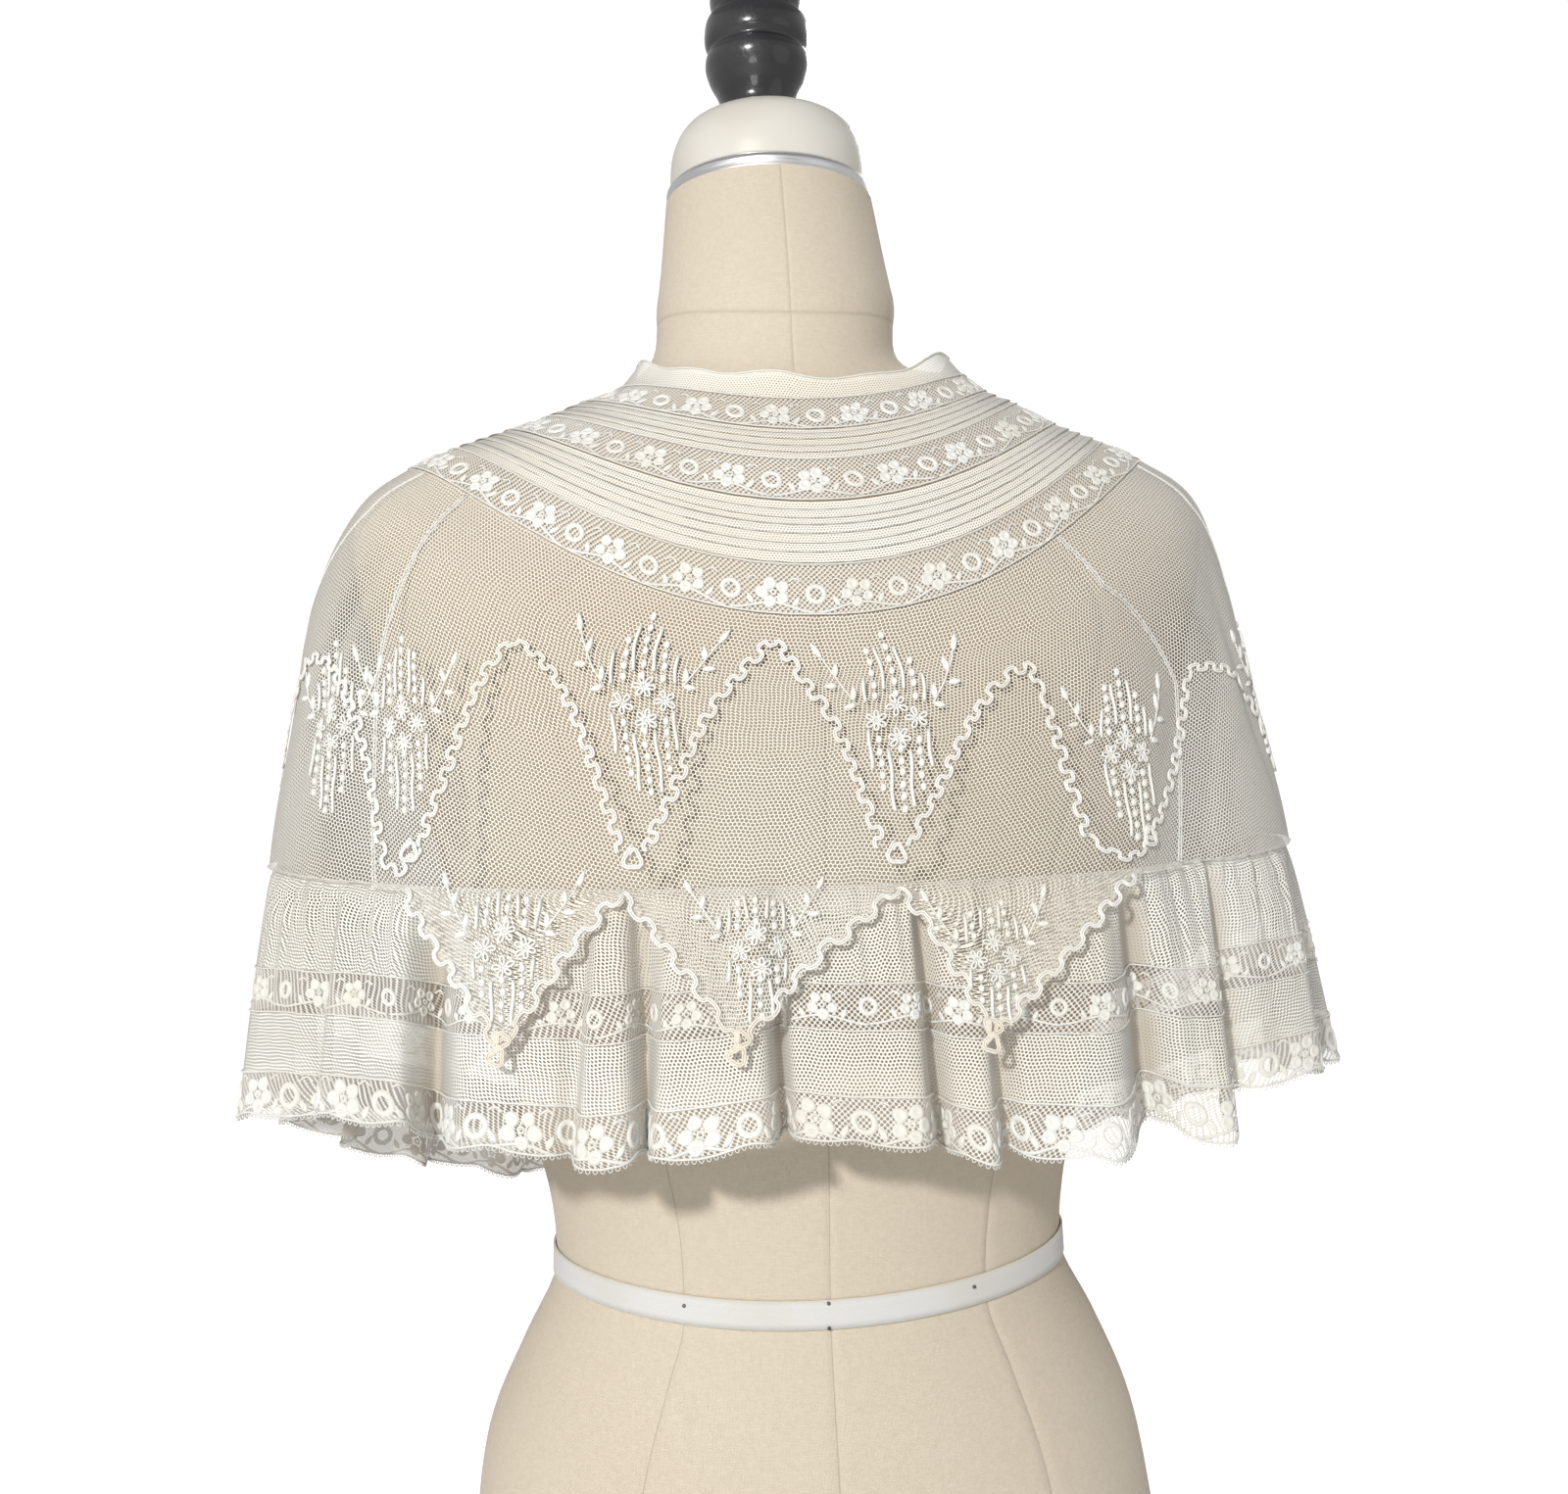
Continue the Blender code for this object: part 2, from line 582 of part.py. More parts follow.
def on_panels(faces, ring, degrees, out):
    """A point on the panels' own facets at a ring position and angle, moved out."""
    for name in PLAN:
        columns = panel_angles(name, ring)
        if degrees <= columns[-1]:
            break
    column = int(np.clip(np.searchsorted(columns, degrees) - 1, 0, len(columns) - 2))
    across = (degrees - columns[column]) / (columns[column + 1] - columns[column])
    row = int(np.clip(np.searchsorted(PANEL_RINGS, ring) - 1, 0, len(PANEL_RINGS) - 2))
    down = (ring - PANEL_RINGS[row]) / (PANEL_RINGS[row + 1] - PANEL_RINGS[row])
    corner, right = faces[name][row, column], faces[name][row, column + 1]
    below, beyond = faces[name][row + 1, column], faces[name][row + 1, column + 1]
    if across >= down:
        point = corner + (right - corner) * across + (beyond - right) * down
    else:
        point = corner + (below - corner) * down + (beyond - below) * across
    normal = np.cross(right - corner + beyond - below, below - corner + beyond - right)
    return point + normal / np.linalg.norm(normal) * out


def beside(ring, degrees, offset):
    """The ring position and angle that lie a short way off a place on the cloth."""
    angle = math.radians(degrees)
    down = cloth_point(ring + RING_STEP, angle) - cloth_point(ring - RING_STEP, angle)
    across = cloth_point(ring, angle + ANGLE_STEP) - cloth_point(ring, angle - ANGLE_STEP)
    steps = np.linalg.lstsq(np.stack([down, across], -1), offset, rcond=None)[0]
    return ring + steps[0] * 2 * RING_STEP, degrees + steps[1] * math.degrees(2 * ANGLE_STEP)


def front_arches(side):
    """The arches over one front's flaps, all alike."""
    feet = front_junctions(side)
    rows = []
    for start, end in zip(feet, feet[1:]):
        rows.append(((start + end) / 2, FRONT_PEAK_RING, start + FRONT_FOOT_SPREAD, FRONT_POWER,
                     end - FRONT_FOOT_SPREAD, FRONT_POWER))
    return rows


def arch_path(peak, peak_ring, right_foot, right_power, left_foot, left_power):
    """Ring positions and angles along one arch, closer together where it turns at the top."""
    path = []
    for step in range(ARCH_STEPS + 1):
        turn = 2 * step / ARCH_STEPS - 1
        along = abs(turn) ** ARCH_CROWDING
        foot, power = (left_foot, left_power) if turn > 0 else (right_foot, right_power)
        ring = ARCH_FOOT_RING + (peak_ring - ARCH_FOOT_RING) * (1 - along ** power)
        path.append((ring, peak + (foot - peak) * along))
    return path


def make_braid_arch(name, arch, faces):
    path = arch_path(*arch)
    centre = np.array([on_panels(faces, ring, angle, 0.0) for ring, angle in path])
    normal = np.array([on_panels(faces, ring, angle, 1.0) for ring, angle in path]) - centre
    side = np.cross(normal, np.gradient(centre, axis=0))
    side = side / np.linalg.norm(side, axis=1, keepdims=True) * BRAID_WIDTH / 2
    edges = [[beside(ring, angle, sign * offset) for (ring, angle), offset in zip(path, side)]
             for sign in (-1, 1)]
    outer, inner = [np.array([[on_panels(faces, *place, out) for place in edge] for edge in edges])
                    for out in (BRAID_CLEARANCE + BRAID_THICKNESS, BRAID_CLEARANCE)]
    wall_body(name, "soutache_braid", outer, inner)


def make_braid_edge(name, face, normal):
    """Braid along one flap's edge, made from the flap's last two rows of points."""
    edge, above = face[-1], face[-2]
    rise = above - edge
    length = np.linalg.norm(rise, axis=1, keepdims=True)
    upper = edge + rise * np.minimum(EDGE_BRAID_WIDTH / length, EDGE_BRAID_SHARE)
    strip_points = np.stack([upper, edge])
    outer = strip_points + normal * (BRAID_CLEARANCE + BRAID_THICKNESS)
    inner = strip_points + normal * BRAID_CLEARANCE
    wall_body(name, "soutache_braid", pull_in(outer, EDGE_BRAID_GAP, rows=False),
              pull_in(inner, EDGE_BRAID_GAP, rows=False))


def make_braid():
    faces = {name: panel_grid(name, WALL_OUT) for name in PLAN}
    for index, arch in enumerate(front_arches(-1) + list(ARCHES) + front_arches(1), 1):
        make_braid_arch("braid_arch_%d" % index, arch, faces)
    index = 1
    for name, (junctions, _) in FLAP_PANELS.items():
        face = pull_in(faces[name], SEAM_GAP)
        normal = grid_normals(faces[name])[-1]
        stations = np.array(PLAN[name][2])
        columns = [int(np.argmin(np.abs(stations - place))) for place in junctions]
        for start, end in zip(columns, columns[1:]):
            flap = slice(start, end + 1)
            make_braid_edge("braid_edge_%d" % index, face[:, flap], normal[flap])
            index += 1


# Dress form


def closed_columns():
    """The cape's columns and one more that closes the form at centre front."""
    return np.append(shared_angles(BAND_3_FOOT), math.pi)


def form_ring(row, angles, grow=0.0):
    z_back, z_side, back, front, left, right, square = row
    values = np.array([z_back, z_side, z_side, z_back, back + grow, front + grow, left + grow,
                       right + grow, square, FORM_SWEEP])
    return place_on_ring(np.broadcast_to(values, (len(angles), len(values))), angles)


def neck_ring(row, angles):
    z_back, z_side, z_front, radius, lean = row
    toward_back = np.cos(angles)
    z_middle = np.where(toward_back >= 0, z_back, z_front)
    return np.stack([radius * np.sin(angles), radius * toward_back - lean,
                     z_side + (z_middle - z_side) * toward_back ** 2], -1)


def stacked_body(name, kind, rings):
    """One closed solid from a stack of rings with flat ends."""
    count = len(rings[0])
    faces = []
    for level in range(len(rings) - 1):
        for column in range(count):
            after = (column + 1) % count
            faces.append(((level + 1) * count + column, level * count + column,
                          level * count + after, (level + 1) * count + after))
    faces.append(list(range(count)))
    faces.append(list(range((len(rings) - 1) * count, len(rings) * count)))
    return add_object(name, kind, np.concatenate(rings), faces)


def make_form():
    angles = closed_columns()
    rings = [form_ring(row, angles) for row in FORM_RINGS]
    armhole = np.broadcast_to(np.array(ARMHOLE_RING), (len(angles), len(ARMHOLE_RING)))
    rings.append(place_on_ring(armhole, angles))
    shoulder_angles = np.append(shared_angles(SHOULDER), math.pi)
    rings.append(cloth_point(SHOULDER, shoulder_angles, -FORM_CLEARANCE - SHOULDER_EASE))
    for ring in range(BAND_3_FOOT, 0, -1):
        rings.append(cloth_point(ring, angles, -FORM_CLEARANCE))
    rings += [neck_ring(row, angles) for row in NECK_RINGS]
    stacked_body("form_torso", "linen", rings)


def make_tape():
    """Waist tape: a closed band round the form's narrowest stretch."""
    angles = closed_columns()
    rows = [FORM_RINGS[index] for index in WAIST_RINGS]
    inner = [form_ring(row, angles, SEAM_GAP) for row in rows]
    outer = [form_ring(row, angles, SEAM_GAP + TAPE_THICKNESS) for row in rows]
    loops = inner + outer[::-1]
    count = len(angles)
    faces = []
    for level in range(len(loops)):
        above = (level + 1) % len(loops)
        for column in range(count):
            after = (column + 1) % count
            faces.append((level * count + column, level * count + after,
                          above * count + after, above * count + column))
    add_object("form_waist_tape", "cotton_tape", np.concatenate(loops), faces)


def make_turned(name, kind, profile, shift=0.0):
    """A turned piece on the neck's top, with flat ends."""
    angles = np.linspace(0, 2 * math.pi, TURNED_SEGMENTS, endpoint=False)
    rings = [np.stack([shift + radius * np.sin(angles), radius * np.cos(angles) - NECK_LEAN,
                       np.full(len(angles), NECK_TOP + height)], -1) for radius, height in profile]
    stacked_body(name, kind, rings)


def main():
    clear_scene()
    make_form()
    make_tape()
    make_turned("form_neck_rim", "aluminium", RIM_PROFILE)
    make_turned("form_cap", "cream_plastic", CAP_PROFILE)
    make_turned("form_finial", "black_lacquer", FINIAL_PROFILE, FINIAL_SHIFT)
    make_yoke()
    make_panels()
    make_ruffle()
    make_braid()


main()
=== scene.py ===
# %% [markdown]
# A lace cape on its dress form, seen from behind.
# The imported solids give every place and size. This script lays the real finishes on them: fine
# net, lace, thread, braid, linen and turned wood. Cloth is made from rows of points that follow
# the body, because a short table of rings is easier to adjust than a sculpted mesh.

# %% Load the frame
import math
import random

import bpy
import numpy as np
from mathutils import Matrix, Vector


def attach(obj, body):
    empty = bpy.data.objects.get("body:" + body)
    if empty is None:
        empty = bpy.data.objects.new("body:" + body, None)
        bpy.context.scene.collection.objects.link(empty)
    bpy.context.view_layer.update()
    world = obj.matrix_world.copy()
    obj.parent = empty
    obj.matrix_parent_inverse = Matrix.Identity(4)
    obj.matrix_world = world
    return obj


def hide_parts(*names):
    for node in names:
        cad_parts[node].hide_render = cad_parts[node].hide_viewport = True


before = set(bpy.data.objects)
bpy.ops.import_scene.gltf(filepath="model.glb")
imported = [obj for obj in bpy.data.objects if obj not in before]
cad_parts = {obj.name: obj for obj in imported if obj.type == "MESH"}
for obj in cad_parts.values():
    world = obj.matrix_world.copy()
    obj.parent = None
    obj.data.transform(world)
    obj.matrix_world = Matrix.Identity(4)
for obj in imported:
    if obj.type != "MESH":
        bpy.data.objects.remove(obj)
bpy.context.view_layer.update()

MM = 0.001
BODY = "root"

# %% [markdown]
# The camera stands behind the form, a little to the wearer's left, at about elbow height.
# It could be aimed with a Track To constraint, but a photograph is rarely quite level, so the
# view's three directions are worked out one turn at a time and put into a matrix.

# %% Camera
PHOTO_WIDTH = 1600
FOCAL_PIXELS = 1540
SENSOR_MM = 36.0
STAND_OFF = 0.72
EYE_HEIGHT = 0.461
HEADING = math.radians(7.0)
AIM_LEFT = math.atan(6.0 / FOCAL_PIXELS)
AIM_UP = math.atan(57.5 / FOCAL_PIXELS)
ROLL = math.radians(-1.5)

forward = Vector((-math.sin(HEADING), -math.cos(HEADING), 0.0))
forward = Matrix.Rotation(AIM_LEFT, 3, "Z") @ forward
to_right = forward.cross(Vector((0, 0, 1))).normalized()
forward = Matrix.Rotation(AIM_UP, 3, to_right) @ forward
upward = to_right.cross(forward)
facing = Matrix((to_right, upward, -forward)).transposed() @ Matrix.Rotation(ROLL, 3, "Z")

camera_data = bpy.data.cameras.new("camera")
camera_data.sensor_width = SENSOR_MM
camera_data.lens = SENSOR_MM * FOCAL_PIXELS / PHOTO_WIDTH
camera_data.clip_start = 0.01
camera = bpy.data.objects.new("camera", camera_data)
camera.matrix_world = facing.to_4x4()
camera.location = (STAND_OFF * math.sin(HEADING), STAND_OFF * math.cos(HEADING), EYE_HEIGHT)
bpy.context.scene.collection.objects.link(camera)
bpy.context.scene.camera = camera
print("lens", round(camera_data.lens, 2), "mm at", [round(value, 3) for value in camera.location])

# %% [markdown]
# Two helpers for building materials. Blender's node editor is a drawing of a formula, and in
# code each node is made, fed and passed on. A helper that takes the feeds in order keeps a
# material as short as the formula it stands for.

# %% Helpers for shader nodes


def node(tree, kind, *feeds, **settings):
    """Adds a shader node. Each feed links a socket or sets a plain value, in socket order."""
    made = tree.nodes.new(kind)
    for key, value in settings.items():
        setattr(made, key, value)
    for socket, feed in zip(made.inputs, feeds):
        if isinstance(feed, bpy.types.NodeSocket):
            tree.links.new(feed, socket)
        elif feed is not None:
            socket.default_value = feed
    return made


def maths(tree, operation, *feeds):
    return node(tree, "ShaderNodeMath", *feeds, operation=operation).outputs[0]


def vectors(tree, operation, *feeds, out=0):
    return node(tree, "ShaderNodeVectorMath", *feeds, operation=operation).outputs[out]


def ramp(tree, value, low, high, bottom=0.0, top=1.0):
    """Eases a value from bottom to top as it goes from low to high."""
    return node(tree, "ShaderNodeMapRange", value, low, high, bottom, top,
                interpolation_type="SMOOTHSTEP").outputs[0]


def mixed(tree, kind, label, share, first, second):
    """Mixes two colours or two arrows; label is what the node's sockets call them."""
    made = node(tree, "ShaderNodeMix", data_type=kind)
    for name, feed in (("Factor_Float", share), ("A_" + label, first), ("B_" + label, second)):
        socket = next(s for s in made.inputs if s.identifier == name)
        if isinstance(feed, bpy.types.NodeSocket):
            tree.links.new(feed, socket)
        else:
            socket.default_value = feed if name == "Factor_Float" else (*feed, 1.0)
    return next(s for s in made.outputs if s.identifier == "Result_" + label)


def mix_colours(tree, share, first, second):
    return mixed(tree, "RGBA", "Color", share, first, second)


def new_group(name, inputs, outputs):
    """An empty node group. Inputs are (name, kind, value) rows and outputs (name, kind)."""
    group = bpy.data.node_groups.new(name, "ShaderNodeTree")
    for label, kind, value in inputs:
        socket = group.interface.new_socket(name=label, in_out="INPUT", socket_type=kind)
        if value is not None:
            socket.default_value = value
    for label, kind in outputs:
        group.interface.new_socket(name=label, in_out="OUTPUT", socket_type=kind)
    return group, group.nodes.new("NodeGroupInput"), group.nodes.new("NodeGroupOutput")


def use_group(tree, group, *feeds):
    """Places a node group in a material and feeds its inputs in order."""
    return node(tree, "ShaderNodeGroup", *feeds, node_tree=group)


# %% [markdown]
# Net is a sheet of tiny hexagons. Modelling each cell would take millions of faces, so a node
# group works out how far a point of the cloth lies from the nearest cell wall, and the
# material is see-through where that is inside the hole. The pattern lies in the cloth's own
# coordinates in metres, so a cell keeps its real size of one to two millimetres anywhere.

# %% Hexagonal net group
HEXAGON = (1.0, math.sqrt(3.0), 1.0)
WANDER_PACE = (520.0, 520.0, 0.0)
THREAD_EDGES = (0.8, 1.2)


def wandered(tree, place, pace, reach):
    """A place on the cloth pushed to and fro in waves, because hand-made rows wander."""
    parts = node(tree, "ShaderNodeSeparateXYZ", place)
    crossed = node(tree, "ShaderNodeCombineXYZ", parts.outputs[1], parts.outputs[0], 0.0).outputs[0]
    wave = vectors(tree, "SINE", vectors(tree, "MULTIPLY", crossed, pace))
    return vectors(tree, "ADD", place, vectors(tree, "MULTIPLY", wave, reach))


net_group, start, end = new_group(
    "bobbin_net",
    [("Place", "NodeSocketVector", None), ("Cell", "NodeSocketFloat", 1.35 * MM),
     ("Thread share", "NodeSocketFloat", 0.13), ("Wander", "NodeSocketFloat", 0.2 * MM)],
    [("Threads", "NodeSocketFloat")])
reach = node(net_group, "ShaderNodeCombineXYZ", start.outputs["Wander"], start.outputs["Wander"],
             0.0).outputs[0]
place = wandered(net_group, start.outputs["Place"], WANDER_PACE, reach)
cell = node(net_group, "ShaderNodeCombineXYZ", start.outputs["Cell"], start.outputs["Cell"],
            start.outputs["Cell"]).outputs[0]
place = vectors(net_group, "DIVIDE", place, cell)
shared = vectors(net_group, "DIVIDE", place, HEXAGON)
near = []
for shift in (0.0, 0.5):
    moved = vectors(net_group, "ADD", shared, (shift, shift, 0.0))
    centred = vectors(net_group, "SUBTRACT", vectors(net_group, "FRACTION", moved),
                      (0.5, 0.5, 0.5))
    near.append(vectors(net_group, "MULTIPLY", centred, (HEXAGON[0], HEXAGON[1], 0.0)))
lengths = [vectors(net_group, "LENGTH", offset, out=1) for offset in near]
nearer = maths(net_group, "LESS_THAN", lengths[1], lengths[0])
offset = vectors(net_group, "ABSOLUTE", mixed(net_group, "VECTOR", "Vector", nearer, *near))
flat_side = node(net_group, "ShaderNodeSeparateXYZ", offset).outputs[0]
slant_side = vectors(net_group, "DOT_PRODUCT", offset, (0.5, math.sqrt(3.0) / 2, 0.0), out=1)
edge = maths(net_group, "SUBTRACT", 0.5, maths(net_group, "MAXIMUM", flat_side, slant_side))
thin, thick = [maths(net_group, "MULTIPLY", start.outputs["Thread share"], share)
               for share in THREAD_EDGES]
net_group.links.new(ramp(net_group, edge, thin, thick, 1.0, 0.0), end.inputs["Threads"])
print("the net group has", len(net_group.nodes), "nodes")

# %% [markdown]
# The ground between the flowers of bobbin lace is thicker than net: round holes in slanting
# rows. The distance from each cell's middle gives round holes, with the grid turned by 45
# degrees as lace makers work it.

# %% Lace ground group
GROUND_PACE = (430.0, 390.0, 0.0)
GROUND_WANDER = (0.28 * MM, 0.28 * MM, 0.0)
HOLE_EDGES = (0.88, 1.12)

ground_group, start, end = new_group(
    "lace_ground",
    [("Place", "NodeSocketVector", None), ("Cell", "NodeSocketFloat", 1.7 * MM),
     ("Hole", "NodeSocketFloat", 0.36)],
    [("Threads", "NodeSocketFloat")])
place = wandered(ground_group, start.outputs["Place"], GROUND_PACE, GROUND_WANDER)
parts = node(ground_group, "ShaderNodeSeparateXYZ", place)
rising = maths(ground_group, "ADD", parts.outputs[0], parts.outputs[1])
falling = maths(ground_group, "SUBTRACT", parts.outputs[0], parts.outputs[1])
slant = maths(ground_group, "MULTIPLY", start.outputs["Cell"], math.sqrt(2.0))
rising = maths(ground_group, "FRACT", maths(ground_group, "DIVIDE", rising, slant))
falling = maths(ground_group, "FRACT", maths(ground_group, "DIVIDE", falling, slant))
across = maths(ground_group, "SUBTRACT", rising, 0.5)
down = maths(ground_group, "SUBTRACT", falling, 0.5)
away = vectors(ground_group, "LENGTH",
               node(ground_group, "ShaderNodeCombineXYZ", across, down, 0.0).outputs[0], out=1)
inner, outer = [maths(ground_group, "MULTIPLY", start.outputs["Hole"], share)
                for share in HOLE_EDGES]
ground_group.links.new(ramp(ground_group, away, inner, outer), end.inputs["Threads"])
print("the lace ground group has", len(ground_group.nodes), "nodes")

# %% [markdown]
# Old white cotton is never one white: it yellows in clouds and picks up a little dust. One
# group gives a slow cloud and a fine grain, and nearly every finish uses it with its own sizes,
# even the pins and the lacquer, which have dulled in places.

# %% Age group
age_group, start, end = new_group(
    "age_clouds",
    [("Place", "NodeSocketVector", None), ("Cloud size", "NodeSocketFloat", 12.0),
     ("Grain size", "NodeSocketFloat", 900.0)],
    [("Cloud", "NodeSocketFloat"), ("Grain", "NodeSocketFloat")])
cloud = node(age_group, "ShaderNodeTexNoise", start.outputs["Place"], None,
             start.outputs["Cloud size"], 0.0)
grain = node(age_group, "ShaderNodeTexNoise", start.outputs["Place"], None,
             start.outputs["Grain size"], 2.0, 0.6)
age_group.links.new(ramp(age_group, cloud.outputs["Fac"], 0.35, 0.7), end.inputs["Cloud"])
age_group.links.new(grain.outputs["Fac"], end.inputs["Grain"])
print("the age group has", len(age_group.nodes), "nodes")

# %% [markdown]
# A plain weave is a chequer of threads, over and under. Two sine ridges, one for each
# direction, take turns on the squares of the chequer, and the higher one is the thread on top.

# %% Weave group
weave_group, start, end = new_group(
    "plain_weave",
    [("Place", "NodeSocketVector", None), ("Pitch", "NodeSocketFloat", 0.55 * MM)],
    [("Height", "NodeSocketFloat")])
parts = node(weave_group, "ShaderNodeSeparateXYZ", start.outputs["Place"])
turns = [maths(weave_group, "DIVIDE", maths(weave_group, "MULTIPLY", part, math.pi),
               start.outputs["Pitch"]) for part in parts.outputs[:2]]
waves = [maths(weave_group, "SINE", turn) for turn in turns]
over = maths(weave_group, "GREATER_THAN", maths(weave_group, "MULTIPLY", *waves), 0.0)
ridges = [maths(weave_group, "ABSOLUTE", wave) for wave in waves]
warp = maths(weave_group, "MULTIPLY", ridges[0], over)
weft = maths(weave_group, "MULTIPLY", ridges[1], maths(weave_group, "SUBTRACT", 1.0, over))
weave_group.links.new(maths(weave_group, "ADD", warp, weft), end.inputs["Height"])
print("the weave group has", len(weave_group.nodes), "nodes")

# %% [markdown]
# Each finish gets one Principled material. Its colour comes from two close shades mixed by
# the age clouds, and its bump from the weave or the grain. The values that stay the same all
# over a surface are set on the shader's own sockets.

# %% Helpers for finishes
UV_NAME = "cloth"


def new_finish(name, roughness, sheen=0.0, coat=0.0, metallic=0.0):
    material = bpy.data.materials.new(name)
    material.use_nodes = True
    shader = material.node_tree.nodes["Principled BSDF"]
    shader.inputs["Roughness"].default_value = roughness
    shader.inputs["Sheen Weight"].default_value = sheen
    shader.inputs["Coat Weight"].default_value = coat
    shader.inputs["Metallic"].default_value = metallic
    return material, material.node_tree, shader


def cloth_place(tree):
    return node(tree, "ShaderNodeUVMap", uv_map=UV_NAME).outputs[0]


def solid_place(tree):
    return node(tree, "ShaderNodeTexCoord").outputs["Object"]


def add_bump(tree, shader, height, distance, strength=1.0):
    bump = node(tree, "ShaderNodeBump")
    bump.inputs["Strength"].default_value = strength
    bump.inputs["Distance"].default_value = distance
    tree.links.new(height, bump.inputs["Height"])
    tree.links.new(bump.outputs[0], shader.inputs["Normal"])


def aged_colour(tree, shader, place, clean, aged, cloud_size=12.0, grain_size=900.0):
    """Mixes two shades of a finish in slow clouds; returns the grain for its bump, and them."""
    age = use_group(tree, age_group, place, cloud_size, grain_size)
    colour = mix_colours(tree, age.outputs["Cloud"], clean, aged)
    tree.links.new(colour, shader.inputs["Base Color"])
    return age.outputs["Grain"], colour


def marked(tree, name):
    """A named value that the points of a piece carry, such as how far they have yellowed."""
    return node(tree, "ShaderNodeAttribute", attribute_name=name).outputs["Fac"]


def on_inside(tree):
    return node(tree, "ShaderNodeNewGeometry").outputs["Backfacing"]


# %% [markdown]
# The net is fine cotton. An evenly see-through sheet would be simpler, but real net closes up
# where it is seen at a slant and looks doubled on the cape's inside. Shade is painted into its
# colour: grey at a slant and on the cape's inside, brown in deep folds.

# %% Net
THIN_CLOTH_GLOW = 0.05
INSIDE_DOUBLING = 0.9
NET_WHITE = (0.77, 0.75, 0.69)
NET_AGED = (0.74, 0.70, 0.61)
NET_SHADED = (0.33, 0.31, 0.295)
RUFFLE_WHITE = (0.735, 0.725, 0.68)
RUFFLE_AGED = (0.70, 0.68, 0.61)
VALLEY_SHADE = (0.36, 0.31, 0.24)
# How far the holes close at a slant, and the painted shade of net at a slant and on its inside
NET_CLOSING = 0.8
SLANT_SHADE = (0.35, 0.9, 0.0, 0.6)
INSIDE_SHADE = 0.8


def closed_by_slant(tree, threads, facing, most):
    """Holes close up where the cloth is seen at a slant, because real threads are round."""
    closing = ramp(tree, facing, 0.25, 1.0, 0.0, most)
    hole = maths(tree, "MULTIPLY", maths(tree, "SUBTRACT", 1.0, threads),
                 maths(tree, "SUBTRACT", 1.0, closing))
    return maths(tree, "SUBTRACT", 1.0, hole)


def held_back(tree, covered, shadow_share):
    """Fine thread scatters light on, so a cloth's shadow may be lighter than the cloth looks."""
    shadow = node(tree, "ShaderNodeLightPath").outputs["Is Shadow Ray"]
    factor = node(tree, "ShaderNodeMapRange", shadow, 0.0, 1.0, 1.0, shadow_share).outputs[0]
    return maths(tree, "MINIMUM", maths(tree, "MULTIPLY", covered, factor), 1.0)


def make_net(name, cell, thread_share, clean, aged, shadow_share):
    material, tree, shader = new_finish(name, roughness=0.9, sheen=0.1)
    shader.inputs["Emission Color"].default_value = (*clean, 1.0)
    shader.inputs["Emission Strength"].default_value = THIN_CLOTH_GLOW
    colour = aged_colour(tree, shader, solid_place(tree), clean, aged, cloud_size=9.0)[1]
    threads = use_group(tree, net_group, cloth_place(tree), cell, thread_share)
    facing = node(tree, "ShaderNodeLayerWeight", 0.5).outputs["Facing"]
    covered = closed_by_slant(tree, threads.outputs["Threads"], facing, NET_CLOSING)
    inside = on_inside(tree)
    valley = marked(tree, "valley")
    doubled_and_shaded = maths(tree, "MAXIMUM", maths(tree, "MULTIPLY", inside, INSIDE_DOUBLING), valley)
    open_part = maths(tree, "MULTIPLY", maths(tree, "SUBTRACT", 1.0, covered),
                      maths(tree, "SUBTRACT", 1.0, doubled_and_shaded))
    covered = maths(tree, "SUBTRACT", 1.0, open_part)
    # Painted shade: grey at a slant and on the cape's inside, brown in the valleys between folds
    colour = mix_colours(tree, ramp(tree, facing, *SLANT_SHADE), colour, NET_SHADED)
    colour = mix_colours(tree, maths(tree, "MULTIPLY", inside, INSIDE_SHADE), colour, NET_SHADED)
    colour = mix_colours(tree, valley, colour, VALLEY_SHADE)
    tree.links.new(colour, shader.inputs["Base Color"])
    tree.links.new(held_back(tree, covered, shadow_share), shader.inputs["Alpha"])
    return material


fine_net = make_net("fine_net", 1.75 * MM, 0.11, NET_WHITE, NET_AGED, 0.4)
ruffle_net = make_net("ruffle_net", 1.55 * MM, 0.20, RUFFLE_WHITE, RUFFLE_AGED, 0.75)
tucked_net = make_net("tucked_net", 1.4 * MM, 0.28, NET_WHITE, NET_AGED, 0.7)
print("net in", len(bpy.data.materials), "finishes")

# %% [markdown]
# The ground of the lace is denser, and light glows through it to the inside. In place of a
# translucent shader, the inside has a faint painted glow. A translucent shader would do
# that, but an export can't keep one, so the inside has a faint glow.

# %% Lace ground
LIT_THROUGH = 0.22
GROUND_CELL, GROUND_HOLE, GROUND_SHADOW = 1.6 * MM, 0.40, 1.6
GROUND_WHITE = (0.67, 0.65, 0.61)
GROUND_AGED = (0.63, 0.60, 0.54)
LACE_CLOSING = 0.5


def glow_inside(tree, shader, clean):
    """Thin lace glows on its shaded inside with the light that falls on its face."""
    inside = on_inside(tree)
    outside = [THIN_CLOTH_GLOW / LIT_THROUGH * value for value in clean]
    tree.links.new(mix_colours(tree, inside, outside, clean), shader.inputs["Emission Color"])
    shader.inputs["Emission Strength"].default_value = LIT_THROUGH


